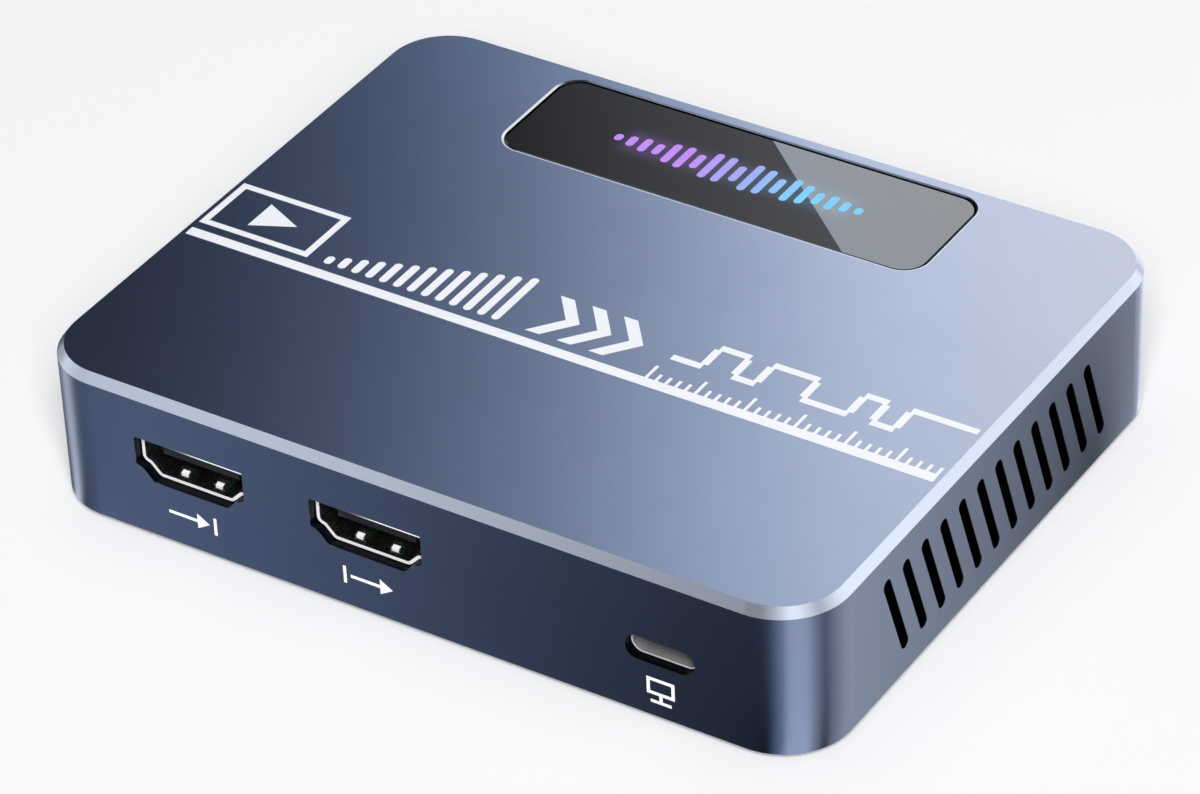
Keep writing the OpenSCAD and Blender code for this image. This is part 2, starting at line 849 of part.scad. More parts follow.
// Legs of a socket: a shoulder that stands on the board and a tail through it
module legs(half, steel, ys, up_to) {
    tail_end = board_under - leg_under;
    for (side = [-1, 1], y = ys) {
        translate([side * (half + steel / 2) - steel / 2, y, 0]) {
            translate([0, -leg_shoulder / 2, board_face]) cube([steel, leg_shoulder, up_to - board_face]);
            translate([0, -leg_tail / 2, tail_end]) cube([steel, leg_tail, board_face - tail_end]);
        }
    }
}

// Steel shell of a video socket, with its legs and the springs that hold a plug
module video_shell(x) {
    color("silver") translate([x, 0, 0]) {
        translate([0, 0, socket_z]) {
            difference() {
                push_y(socket_front, socket_rear) video_mouth(socket_steel);
                push_y(socket_front - past, socket_rear + past) video_mouth(0);
                spring_places() spring_window();
            }
            spring_places() spring();
        }
        legs(socket_w / 2, socket_steel, video_leg_ys, socket_z + socket_h / 2 - socket_side + leg_lap);
    }
}

// Two springs in the floor of the mouth and two in its ceiling
module spring_places() {
    for (side = [-1, 1], face = [0, 1]) {
        mirror([0, 0, face])
            translate([side * spring_x, socket_front + spring_back, -socket_h / 2]) children();
    }
}

module spring_window() {
    w = spring_w + 2 * spring_slit;
    translate([-w / 2, 0, -socket_steel - past]) cube([w, spring_len, socket_steel + 2 * past]);
}

// Spring that rises from the rear end of its window
module spring() {
    push_x(spring_w) polygon([
        [spring_len + spring_slit, -socket_steel],
        [spring_len + spring_slit, 0],
        [spring_len, 0],
        [spring_crest_back, spring_crest],
        [spring_slit, spring_tip],
        [spring_slit, spring_tip - socket_steel],
        [spring_crest_back, spring_crest - socket_steel],
        [spring_len, -socket_steel],
    ]);
}

// Insulator of a video socket: a block in the rear of the shell and a tongue that carries the contacts
module video_insulator(x) {
    block_front = socket_rear - video_block;
    tongue_front = socket_front + tongue_back;
    color("dimgray") difference() {
        translate([x, 0, 0]) {
            translate([0, 0, socket_z]) push_y(block_front, socket_rear) video_mouth(-insulator_gap);
            translate([-tongue_w / 2, tongue_front, tongue_z - tongue_t / 2])
                cube([tongue_w, block_front - tongue_front + past, tongue_t]);
        }
        translate([x, 0, tongue_z]) contact_slots(video_row_count, contact_pitch, video_contact, tongue_t,
            block_front, socket_rear);
    }
}

module video_contacts(x) {
    color("gold") translate([x, 0, 0]) for (row = [0, 1]) {
        contact_row(video_row_count[row], contact_pitch, video_contact[0]) contact_side(
            socket_front + tongue_back + contact_tip, socket_rear + contact_rear,
            tongue_z + row_face(row, tongue_t, video_contact[1]), video_contact[1]);
    }
}

// Side views repeated along X
module contact_row(count, pitch, width) {
    for (i = [0 : count - 1]) {
        translate([(i - (count - 1) / 2) * pitch, 0, 0]) push_x(width) children();
    }
}

// Height of a contact's underside from the tongue's middle: the upper row lies on it, the lower row under it
function row_face(row, tongue, thickness) = row == 0 ? tongue / 2 : -tongue / 2 - thickness;

// Slots through an insulator's block for both rows of contacts
module contact_slots(row_count, pitch, contact, tongue, from, to) {
    for (row = [0, 1]) {
        contact_row(row_count[row], pitch, contact[0] + 2 * insulator_gap)
            translate([from - past, row_face(row, tongue, contact[1]) - insulator_gap])
                square([to - from + 2 * past, contact[1] + 2 * insulator_gap]);
    }
}

// Side view of a contact: along the tongue, down behind the insulator and out on the board
module contact_side(tip, bend_y, z, thickness) {
    foot_end = bend_y + thickness + contact_foot;
    polygon([
        [tip, z],
        [bend_y, z],
        [bend_y, board_face],
        [foot_end, board_face],
        [foot_end, board_face + thickness],
        [bend_y + thickness, board_face + thickness],
        [bend_y + thickness, z + thickness],
        [tip, z + thickness],
    ]);
}

module video_in_shell() {
    video_shell(video_in_x);
}

module video_in_insulator() {
    video_insulator(video_in_x);
}

module video_in_contacts() {
    video_contacts(video_in_x);
}

module video_out_shell() {
    video_shell(video_out_x);
}

module video_out_insulator() {
    video_insulator(video_out_x);
}

module video_out_contacts() {
    video_contacts(video_out_x);
}

module data_shell() {
    color("silver") translate([data_x, 0, 0]) {
        translate([0, 0, data_z]) difference() {
            push_y(data_front, data_rear) data_mouth(data_steel);
            push_y(data_front - past, data_rear + past) data_mouth(0);
        }
        legs(data_w / 2, data_steel, data_leg_ys, data_z);
    }
}

module data_insulator() {
    block_front = data_rear - data_block;
    color("dimgray") translate([data_x, 0, data_z]) difference() {
        union() {
            push_y(block_front, data_rear) data_mouth(-insulator_gap);
            push_y(data_front + data_tongue_back, block_front + past) long_hole(data_tongue_w, data_tongue_t);
        }
        contact_slots(data_row_count, data_contact_pitch, data_contact, data_tongue_t,
            block_front, data_rear);
    }
}

module data_contacts() {
    color("gold") translate([data_x, 0, 0]) for (row = [0, 1]) {
        contact_row(data_row_count[row], data_contact_pitch, data_contact[0]) contact_side(
            data_front + data_tongue_back + contact_tip,
            data_rear + contact_rear + (1 - row) * data_foot_step,
            data_z + row_face(row, data_tongue_t, data_contact[1]), data_contact[1]);
    }
}

// Puts a piece on the main board
module on_board(at) {
    translate([at[0], at[1], board_face]) children();
}

// Flat chip with a mark in its first corner
module flat_chip(size) {
    difference() {
        plate([size[0], size[1], chip_corner], chip_h);
        translate([pin_mark[2] - size[0] / 2, size[1] / 2 - pin_mark[2], chip_h - pin_mark[1]])
            cylinder(r = pin_mark[0], h = pin_mark[1] + past);
    }
}

// Processor: a thin carrier with a moulded cap on it
module video_processor() {
    color("darkgreen") on_board(processor_at) {
        plate([processor_side, processor_side, chip_corner], carrier_h);
        plate([processor_cap, processor_cap, cap_corner], processor_h);
    }
}

module thermal_pad() {
    color("lightpink") on_board(processor_at) translate([0, 0, processor_h])
        plate([processor_cap, processor_cap, cap_corner], pad_t);
}

// Heat sink with fins along X, so that air can pass from side to side
module heat_sink() {
    fin_len = sink_w - 2 * sink_corner;
    fin_pitch = (sink_d - fin_t) / (fin_count - 1);
    color("darkgray") translate([processor_at[0], processor_at[1], sink_under]) {
        plate([sink_w, sink_d, sink_corner], sink_base);
        for (i = [0 : fin_count - 1]) {
            translate([-fin_len / 2, i * fin_pitch - sink_d / 2, 0])
                cube([fin_len, fin_t, sink_top - sink_under]);
        }
    }
}

module input_receiver() {
    color("#2a2a2c") on_board(receiver_at) flat_chip([receiver_side, receiver_side]);
}

module output_driver() {
    color("#2a2a2c") on_board(driver_at) flat_chip([driver_side, driver_side]);
}

module data_controller() {
    color("#2a2a2c") on_board(controller_at) flat_chip([controller_side, controller_side]);
}

module memory_chips() {
    color("#242426") for (i = [0, 1]) {
        on_board(memory_at - [i * memory_pitch, 0]) flat_chip(memory_size);
    }
}

// Chip with bent leads along two opposite sides
module leaded_chip(body, lead_count, lead_pitch) {
    edge = body[0] / 2;
    knee = edge + lead_reach / 2;
    lead_z = body[2] / 2;
    translate([0, 0, lead_lift]) plate([body[0], body[1], chip_corner], body[2]);
    for (side = [0, 1], i = [0 : lead_count - 1]) {
        y = (i - (lead_count - 1) / 2) * lead_pitch;
        mirror([side, 0, 0]) push_y(y - lead_w / 2, y + lead_w / 2) polygon([
            [edge - lead_t, lead_z],
            [knee - lead_t, lead_z],
            [knee - lead_t, 0],
            [edge + lead_reach, 0],
            [edge + lead_reach, lead_t],
            [knee, lead_t],
            [knee, lead_z + lead_t],
            [edge - lead_t, lead_z + lead_t],
        ]);
    }
}

module flash_chip() {
    color("#2a2a2c") on_board(flash_at) leaded_chip(flash_body, flash_lead_count, flash_lead_pitch);
}

module light_controller() {
    color("#2a2a2c") on_board(light_controller_at)
        leaded_chip(light_controller_body, light_controller_lead_count, light_controller_lead_pitch);
}

module power_regulators() {
    color("#2a2a2c") for (i = [0, 1]) {
        on_board(regulator_at - [0, i * regulator_pitch])
            leaded_chip(regulator_body, regulator_lead_count, regulator_lead_pitch);
    }
}

// Clock crystals, each beside the chip that it drives
module clock_crystals() {
    color("silver") for (at = [
        receiver_at - [0, receiver_side / 2 + crystal_off],
        processor_at + [0, sink_d / 2 + crystal_off],
        controller_at + [0, controller_side / 2 + crystal_off],
    ]) {
        on_board(at) {
            plate(crystal_carrier, crystal_carrier_h);
            plate(grow_rect(crystal_carrier, -crystal_lid_inset), crystal_h);
        }
    }
}

// Moulded inductors with a round core in a square body
module power_inductors() {
    color("dimgray") for (i = [0, 1]) {
        on_board(inductor_at - [0, i * (inductor_side + inductor_gap)]) {
            plate([inductor_side, inductor_side, inductor_corner], inductor_body_h);
            cylinder(d = inductor_side - 2 * inductor_rim, h = inductor_h);
        }
    }
}

// Capacitor cans with a crimp above a moulded base
module bulk_capacitors() {
    base = bulk_d + 2 * bulk_overhang;
    r = bulk_d / 2;
    color("lightgray") for (i = [0, 1]) {
        on_board([left_x + bulk_from_side, bulk_y + i * (bulk_d + bulk_gap)]) {
            plate([base, base, bulk_corner], bulk_base_h);
            rotate_extrude() polygon([
                [0, 0],
                [r, 0],
                [r, bulk_base_h + bulk_crimp],
                [r - bulk_crimp, bulk_base_h + 2 * bulk_crimp],
                [r, bulk_base_h + 3 * bulk_crimp],
                [r, bulk_h - bulk_crimp],
                [r - bulk_crimp, bulk_h],
                [0, bulk_h],
            ]);
        }
    }
}

// Rows of ceramic capacitors along the front and back of each large chip
module ceramic_capacitors() {
    color("burlywood") {
        ceramic_rows(processor_at, processor_side);
        ceramic_rows(receiver_at, receiver_side);
        ceramic_rows(driver_at, driver_side);
        ceramic_rows(controller_at, controller_side);
    }
}

module ceramic_rows(at, chip_side) {
    count = floor(chip_side / ceramic_pitch);
    for (side = [-1, 1], i = [0 : count - 1]) {
        on_board(at + [(i - (count - 1) / 2) * ceramic_pitch, side * (chip_side / 2 + ceramic_off)])
            ceramic_capacitor();
    }
}

// Body between two metal ends that stand a little proud
module ceramic_capacitor() {
    core = [ceramic[0], ceramic[1] - 2 * ceramic_proud, ceramic[2] - ceramic_proud];
    translate([-core[0] / 2, -core[1] / 2, 0]) cube(core);
    for (x = [-ceramic[0] / 2, ceramic[0] / 2 - ceramic_end]) {
        translate([x, -ceramic[1] / 2, 0]) cube([ceramic_end, ceramic[1], ceramic[2]]);
    }
}

housing();
base_cover();
base_screws();
rubber_feet();
window_panel();
window_tape();
light_diffuser();
light_box();
light_board();
light_leds();
light_board_screws();
light_ribbon();
light_board_socket();
main_board_socket();
main_board();
board_screws();
video_in_shell();
video_in_insulator();
video_in_contacts();
video_out_shell();
video_out_insulator();
video_out_contacts();
data_shell();
data_insulator();
data_contacts();
video_processor();
thermal_pad();
heat_sink();
input_receiver();
output_driver();
data_controller();
memory_chips();
flash_chip();
light_controller();
clock_crystals();
power_inductors();
power_regulators();
bulk_capacitors();
ceramic_capacitors();
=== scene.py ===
"""Looks of the video capture box: finishes, print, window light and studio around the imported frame."""

import math

import bmesh
import bpy
from bpy.props import (
    FloatProperty,
    FloatVectorProperty,
    IntProperty,
    PointerProperty,
)
from mathutils import Euler, Matrix, Vector


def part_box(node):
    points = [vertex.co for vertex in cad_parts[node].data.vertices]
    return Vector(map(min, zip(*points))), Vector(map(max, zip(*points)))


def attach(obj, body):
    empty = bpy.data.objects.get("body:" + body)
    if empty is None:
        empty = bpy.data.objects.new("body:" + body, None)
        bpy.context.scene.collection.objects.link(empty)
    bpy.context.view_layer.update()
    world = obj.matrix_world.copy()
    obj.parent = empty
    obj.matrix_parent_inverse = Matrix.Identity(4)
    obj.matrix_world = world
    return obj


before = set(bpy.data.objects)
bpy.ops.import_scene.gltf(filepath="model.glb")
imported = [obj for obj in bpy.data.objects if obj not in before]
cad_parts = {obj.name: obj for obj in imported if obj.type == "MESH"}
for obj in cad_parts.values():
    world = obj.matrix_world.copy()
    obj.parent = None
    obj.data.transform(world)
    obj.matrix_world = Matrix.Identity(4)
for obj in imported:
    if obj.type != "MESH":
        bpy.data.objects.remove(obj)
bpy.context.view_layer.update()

bl_info = {
    "name": "Video Capture Box",
    "version": (1, 0, 0),
    "blender": (4, 5, 0),
    "location": "View3D > Sidebar > Capture Box",
    "description": "Finishes, print, window light and studio of a video capture box",
    "category": "Object",
}

MM = 0.001
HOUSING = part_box("housing")
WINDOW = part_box("window_panel")
ROOF = HOUSING[1].z
FRONT = HOUSING[0].y
GLASS = WINDOW[1].z
WINDOW_MIDDLE = (WINDOW[0] + WINDOW[1]) / 2

# Brightness of the large card behind the box, from its left edge to its right one
MAIN = ((2.52, 2.76, 3.16), (2.96, 2.69, 2.35), (2.39, 2.07, 1.71), (2.23, 1.94, 1.56))
DARK = (0, 0, 0)
# Cards in the camera's plan, as columns: a low point and a high point in millimetres to the right of the
# camera's line, away from the camera and up, then the brightness
VIEW_CARDS = {
    "back_low": (
        ((30, 260, 10), (30, 260, 168), MAIN[0]),
        ((120, 260, 10), (120, 260, 168), MAIN[1]),
        ((260, 260, 10), (260, 260, 168), MAIN[2]),
        ((430, 260, 10), (430, 260, 168), MAIN[3]),
    ),
    "back_band": (
        ((30, 260, 168), (43.2, 260, 195), MAIN[0]),
        ((120, 260, 168), (120, 260, 195), MAIN[1]),
        ((260, 260, 168), (260, 260, 195), MAIN[2]),
        ((430, 260, 168), (430, 260, 195), MAIN[3]),
    ),
    "back_high": (
        ((43.2, 260, 195), (40.2, 260, 430), MAIN[0]),
        ((120, 260, 195), (120, 260, 430), MAIN[1]),
        ((260, 260, 195), (260, 260, 430), MAIN[2]),
        ((430, 260, 195), (430, 260, 430), MAIN[3]),
    ),
    "left_low": (
        ((-150, 261, 10), (-150, 261, 150), DARK),
        ((-70, 261, 10), (-70, 261, 150), DARK),
        ((-10, 261, 10), (-10, 261, 150), (0.38, 0.55, 0.92)),
        ((31, 261, 10), (31, 261, 150), (2.23, 2.63, 2.91)),
    ),
    "left_band": (
        ((-110, 261, 150), (-110, 261, 215), DARK),
        ((-30, 261, 150), (-30, 261, 215), DARK),
        ((44, 261, 150), (44, 261, 215), (0.67, 0.69, 0.76)),
    ),
    "left_high": (
        ((-150, 261, 215), (-150, 261, 430), DARK),
        ((-64, 261, 215), (-64, 261, 430), DARK),
        ((-10, 261, 215), (-10, 261, 430), (0.36, 0.48, 0.95)),
        ((42, 261, 215), (42, 261, 430), (3.0, 3.57, 3.9)),
    ),
    "window_edge": (
        ((-304, -145, 300), (-304, -145, 430), (1.1, 1.2, 1.4)),
        ((-336, -29, 300), (-336, -29, 430), (1.1, 1.2, 1.4)),
    ),
}
# Tints of the strips
BLUE = (0.80, 1.0, 1.44)
GREY = (0.92, 1.0, 1.14)
WHITE = (0.99, 1.0, 0.99)
# Strips that the walls and the bevel mirror to the camera, as columns: a place one corner radius inside the
# wall, the way the wall faces there in degrees from the front to the right, the brightness and the tint
FOOT_STRIP = (
    (-43.6, -33.1, -55, 0.1, GREY),
    (-43.6, -33.1, -42, 0.1, GREY),
    (-43.6, -33.1, -30, 1.3, GREY),
    (-43.6, -33.1, -18, 0.15, BLUE),
    (-43.6, -33.1, -8, 0.27, BLUE),
    (-43.6, -33.1, 0, 0.42, BLUE),
    (-10, -33.1, 0, 0.29, BLUE),
    (14, -33.1, 0, 0.17, BLUE),
    (43.6, -33.1, 0, 0.06, BLUE),
    (43.6, -33.1, 15, 0.02, BLUE),
    (43.6, -33.1, 24, 0.42, BLUE),
    (43.6, -33.1, 33, 1.5, GREY),
    (43.6, -33.1, 45, 1.5, GREY),
    (43.6, -33.1, 53, 0.7, GREY),
    (43.6, -33.1, 60, 0.1, GREY),
    (43.6, -33.1, 68, 0.63, GREY),
    (43.6, -33.1, 78, 0.9, GREY),
    (43.6, -33.1, 90, 0.75, GREY),
    (43.6, 0, 90, 0.45, GREY),
    (43.6, 24, 90, 0.15, GREY),
    (43.6, 33.1, 90, 0.65, GREY),
    (43.6, 33.1, 102, 2.1, GREY),
    (43.6, 33.1, 122, 1.2, GREY),
)
RIM_STRIP = (
    (-43.6, -33.1, -52, 0.6, WHITE),
    (-43.6, -33.1, -42, 1.0, WHITE),
    (-43.6, -33.1, -30, 2.1, WHITE),
    (-43.6, -33.1, -12, 1.5, WHITE),
    (-43.6, -33.1, 0, 1.65, WHITE),
    (-25, -33.1, 0, 2.0, WHITE),
    (43.6, -33.1, 0, 0.8, WHITE),
    (43.6, -33.1, 14, 0.75, WHITE),
    (43.6, -33.1, 25, 1.5, WHITE),
    (43.6, -33.1, 38, 3.0, WHITE),
    (43.6, -33.1, 48, 2.4, WHITE),
    (43.6, -33.1, 60, 1.2, WHITE),
    (43.6, -33.1, 74, 2.2, WHITE),
    (43.6, -33.1, 90, 2.85, WHITE),
    (43.6, 10, 90, 2.25, WHITE),
    (43.6, 24, 90, 2.05, WHITE),
    (43.6, 33.1, 90, 2.6, WHITE),
    (43.6, 33.1, 105, 2.6, WHITE),
    (43.6, 33.1, 122, 1.6, WHITE),
)
# Lamps: place in metres, size and power
LAMPS = {
    "key_lamp": ((1.87, -2.78, 3.0), 1.96, 257.0),
    "top_lamp": ((-0.2, 0.1, 1.3), 1.2, 3.0),
}
# How far the foot strip reaches from the walls; how far away the rim strip stands, and half its height
FOOT_REACH = 120
RIM_AWAY = 300
RIM_HALF = 85
# Roof print in millimetres: strokes, the left ends of the arrows, and the steps of the pulse line as left
# end, right end and height above the low line
PRINT_GAP = 0.9
PRINT_FOOT = 0.4
SCREEN_SIZE = (15.5, 9.4)
ARROW_PLACES = (-4.6, -0.3, 4.0)
ARROW_STROKE = 1.9
ARROW_DEPTH = 3.1
ARROW_HALF = 3.9
PULSE_LOW = 4.0
PULSE_RISE = 4.2
PULSE_HALF = 0.5
PULSE_STEPS = ((13, 17, 0), (17, 21, 1), (21, 24, 0), (24, 30, 1), (30, 36, 0), (36, 39, 1), (39, 42, 0))
# Height of the arrow marks under the video sockets
MARK_HEIGHT = 5.25


def colour(name, description, default):
    """A colour that a user would change."""
    return FloatVectorProperty(
        name=name, description=description, subtype="COLOR", size=3, min=0, max=1, default=default
    )


def length(name, description, millimetres):
    """A length that a user would change, kept in metres."""
    return FloatProperty(
        name=name, description=description, unit="LENGTH", precision=5, min=0, default=millimetres * MM
    )


class CaptureBoxBody(bpy.types.PropertyGroup):
    """Colours and edge sizes of the housing."""

    anodised: colour("Anodised", "Blasted and anodised walls and roof", (0.100, 0.136, 0.218))
    cut: colour("Cut edges", "Bright edges cut after blasting", (0.30, 0.33, 0.40))
    # Painted highlight: light, non-metallic colour on the upper edges of the video ports and the window
    # recess
    edge_highlight: colour("Painted edge highlight", "Light colour painted on port and window edges as a highlight", (0.85, 0.86, 0.88))
    cover: colour("Cover", "Anodised base cover", (0.055, 0.070, 0.105))
    rubber: colour("Rubber", "Rubber feet", (0.022, 0.022, 0.024))
    corner: length("Corner", "Radius of the upright corners", 8.4)
    bevel_in: length("Bevel width", "Width of the bevel round the roof", 0.9)
    bevel_down: length("Bevel height", "Height of the bevel round the roof", 1.2)
    foot_edge: length("Foot edge", "Broken edge at the foot of the walls", 0.25)
    wall: length("Wall", "Thickness of the walls", 2)
    port_gap: length("Port gap", "Gap round the steel of a video socket", 0.15)
    window_corner: length("Window corner", "Radius of the window's corners", 3)


class CaptureBoxPrint(bpy.types.PropertyGroup):
    """Colours and sizes of the white print."""

    ink: colour("Ink", "White printing ink", (0.86, 0.88, 0.92))
    thickness: length("Ink thickness", "Height of the ink above the metal", 0.012)
    rule_length: length("Rule length", "Length of the rule across the roof", 101)
    rule_width: length("Rule width", "Width of the rule across the roof", 1.5)
    rule_y: length("Rule offset", "Distance of the rule in front of the middle", 11.5)
    bar_count: IntProperty(name="Level bars", description="Bars of the printed meter", min=2, default=13)
    bar_pitch: length("Bar pitch", "Distance between the printed level bars", 1.95)
    bar_width: length("Bar width", "Width of a printed level bar", 1.05)
    tick_count: IntProperty(name="Ticks", description="Ticks of the printed scale", min=2, default=30)
    tick_pitch: length("Tick pitch", "Distance between the printed ticks", 1.3)
    line: length("Line", "Line width of the small marks", 0.42)


class CaptureBoxLight(bpy.types.PropertyGroup):
    """Colours and sizes of the lit window."""

    glass: colour("Glass", "Dark tinted window panel", (0.004, 0.004, 0.005))
    left: colour("Left light", "Light at the left end of the meter", (0.53, 0.25, 0.91))
    middle: colour("Middle light", "Light in the middle of the meter", (0.33, 0.40, 0.88))
    right: colour("Right light", "Light at the right end of the meter", (0.20, 0.62, 0.94))
    bar_count: IntProperty(name="Lit bars", description="Bars of the lit level meter", min=2, default=19)
    bar_pitch: length("Bar pitch", "Distance between the lit bars", 1.85)
    bar_width: length("Bar width", "Width of a lit bar", 1.05)
    shortest: length("Shortest", "Length of the shortest lit bar", 1.4)
    longest: length("Longest", "Length of the longest lit bar", 6.2)
    halo: length("Halo", "Reach of the glow round the lit bars", 0.75)
    glow: FloatProperty(name="Glow", description="Strength of that glow", min=0, default=0.085)


class CaptureBoxMetals(bpy.types.PropertyGroup):
    """Colours of the sockets and of what lies inside."""

    steel: colour("Steel", "Nickel-plated socket shells", (0.80, 0.80, 0.82))
    insulator: colour("Insulator", "Black moulded socket insulators", (0.010, 0.010, 0.011))
    gold: colour("Gold", "Gold-plated contacts", (0.83, 0.60, 0.24))
    mask: colour("Board", "Solder mask of the boards", (0.010, 0.045, 0.030))
    chip: colour("Chips", "Moulded chip packages", (0.018, 0.018, 0.019))
    spring: length("Spring place", "Distance of a spring from the middle of its video socket", 2.4)


class CaptureBoxStudio(bpy.types.PropertyGroup):
    """Camera, floor and lights."""

    camera: FloatVectorProperty(
        name="Camera", description="Place of the camera", subtype="TRANSLATION", unit="LENGTH", size=3,
        default=(0.290136, -0.439816, 0.384769),
    )
    turn: FloatVectorProperty(
        name="Camera turn", description="Turn of the camera", subtype="EULER", unit="ROTATION", size=3,
        default=tuple(math.radians(a) for a in (54.3318, 2.0663, 32.0127)),
    )
    lens: FloatProperty(name="Lens", description="Focal length in millimetres", default=166.185)
    floor: colour("Floor", "Pale floor", (0.94, 0.94, 0.945))
    ambient: colour("Ambient", "Light from all round", (0.06, 0.062, 0.066))


class Wire:
    """One socket of a node tree. Arithmetic on wires adds the Math nodes that work it out."""

    def __init__(self, tree, socket=None):
        self.tree = tree
        self.socket = socket

    def add(self, kind, settings=None, sockets=None, out=0):
        """Adds any node: its settings first, then the values or wires of its sockets."""
        node = self.tree.nodes.new(kind)
        for name, value in (settings or {}).items():
            if name == "stops":
                set_stops(node.color_ramp, value)
            else:
                setattr(node, name, value)
        for key, value in (sockets or {}).items():
            self.feed(node.inputs[key], value)
        return Wire(self.tree, node.outputs[out] if len(node.outputs) else None)

    def feed(self, socket, value):
        """Links a wire to a socket, or sets a plain value on it."""
        if isinstance(value, Wire):
            self.tree.links.new(value.socket, socket)
        else:
            socket.default_value = value

    def other(self, out):
        """Another output of the same node."""
        return Wire(self.tree, self.socket.node.outputs[out])

    def math(self, operation, *values):
        return self.add("ShaderNodeMath", {"operation": operation}, dict(enumerate((self, *values))))

    def under(self, operation, value):
        """The operation with the wire as its second value."""
        return self.add("ShaderNodeMath", {"operation": operation}, {0: value, 1: self})

    def __add__(self, value):
        return self.math("ADD", value)

    def __radd__(self, value):
        return self.under("ADD", value)

    def __sub__(self, value):
        return self.math("SUBTRACT", value)

    def __rsub__(self, value):
        return self.under("SUBTRACT", value)

    def __mul__(self, value):
        return self.math("MULTIPLY", value)

    def __rmul__(self, value):
        return self.under("MULTIPLY", value)

    def __truediv__(self, value):
        return self.math("DIVIDE", value)

    def __rtruediv__(self, value):
        return self.under("DIVIDE", value)

    def __pow__(self, value):
        return self.math("POWER", value)

    def __abs__(self):
        return self.math("ABSOLUTE")


def set_stops(ramp, stops):
    """Gives a colour ramp its stops, as pairs of place and colour."""
    while len(ramp.elements) < len(stops):
        ramp.elements.new(1.0)
    for element, (at, shade) in zip(ramp.elements, stops):
        element.position = at
        element.color = (*shade, 1.0)


def rgba(shade):
    return (*shade, 1.0)


def surface(name, **fixed):
    """A new material: the material, its shader node and a wire of Object coordinates. fixed sets sockets."""
    material = bpy.data.materials.new(name)
    material.use_nodes = True
    tree = material.node_tree
    shader = tree.nodes["Principled BSDF"]
    for key, value in fixed.items():
        shader.inputs[key.replace("_", " ")].default_value = value
    return material, shader, Wire(tree).add("ShaderNodeTexCoord", out="Object")


def connect(shader, place, **wires):
    """Feeds the wires into the shader's sockets."""
    for key, wire in wires.items():
        place.feed(shader.inputs[key.replace("_", " ")], wire)


def split(place):
    """The three parts of a vector wire."""
    x = place.add("ShaderNodeSeparateXYZ", sockets={"Vector": place})
    return x, x.other("Y"), x.other("Z")


def noise(place, size, detail=2.0, stretch=(1, 1, 1)):
    """Noise from 0 to 1 with features of about that size in metres, longer along a stretched axis."""
    scaled = place.add(
        "ShaderNodeMapping", sockets={"Vector": place, "Scale": [1 / (size * s) for s in stretch]}
    )
    return place.add("ShaderNodeTexNoise", sockets={"Vector": scaled, "Scale": 1.0, "Detail": detail})


def cells(place, size):
    """Distance to the nearest of scattered points that lie about that size apart."""
    return place.add("ShaderNodeTexVoronoi", sockets={"Vector": place, "Scale": 1 / size})


def step(value, low, high, to_low=0.0, to_high=1.0):
    """A smooth step of a wire between two values."""
    return value.add(
        "ShaderNodeMapRange",
        {"interpolation_type": "SMOOTHSTEP"},
        {"Value": value, "From Min": low, "From Max": high, "To Min": to_low, "To Max": to_high},
    )


def ramp(value, low, high, to_low, to_high):
    """A straight ramp of a wire between two values."""
    return value.add(
        "ShaderNodeMapRange",
        sockets={"Value": value, "From Min": low, "From Max": high, "To Min": to_low, "To Max": to_high},
    )


def blend(factor, first, second):
    """A mix of two colours."""
    shades = [c if isinstance(c, Wire) else rgba(c) for c in (first, second)]
    return factor.add(
        "ShaderNodeMix", {"data_type": "RGBA"}, {0: factor, 6: shades[0], 7: shades[1]}, out=2
    )


def pair(shade, low, high):
    """A darker and a lighter version of a colour."""
    return [c * low for c in shade], [min(1, c * high) for c in shade]


def bump(height, distance, strength=1.0):
    """A bumped normal from a height wire."""
    return height.add(
        "ShaderNodeBump", sockets={"Height": height, "Distance": distance, "Strength": strength}
    )


def rounded_distance(x, y, half_x, half_y, radius):
    """Distance outside a rectangle with round corners, below zero inside it."""
    qx = abs(x) - (half_x - radius)
    qy = abs(y) - (half_y - radius)
    out_x = qx.math("MAXIMUM", 0.0)
    out_y = qy.math("MAXIMUM", 0.0)
    return (out_x * out_x + out_y * out_y).math("SQRT") + qx.math("MAXIMUM", qy).math("MINIMUM", 0.0) - radius


def port_highlight(body, x, y, z):
    """Painted highlight along the upper edge of the video ports, over the right part of each."""
    near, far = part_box("video_in_shell"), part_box("video_out_shell")
    pitch = far[0].x - near[0].x
    half = (near[1].x - near[0].x) / 2 + body.port_gap
    edge = near[1].z + body.port_gap
    second = (x - (near[0].x + far[1].x) / 2).math("GREATER_THAN", 0.0)
    across = x - (near[0].x + near[1].x) / 2 - second * pitch
    return (
        step(y, FRONT + 0.02 * MM, FRONT + 0.01 * MM)
        * step(z, edge - 0.01 * MM, edge)
        * step(z, edge + 0.17 * MM, edge + 0.14 * MM)
        * step(across, -3 * MM, 2 * MM)
        * step(across, half, half - 0.1 * MM)
    )


def window_highlight(x, y, z, rim):
    """Painted highlight on the edge of the window's recess, strongest at the left and none at the rear."""
    return (
        ramp(x, WINDOW[0].x, WINDOW[1].x, 0.9, 0.3)
        * step(y, WINDOW[1].y - 1 * MM, WINDOW[1].y - 3 * MM)
        * step(z, ROOF - 0.16 * MM, ROOF - 0.14 * MM)
        * step(rim, 0.19 * MM, 0.21 * MM)
        * step(rim, 0.50 * MM, 0.46 * MM)
    )


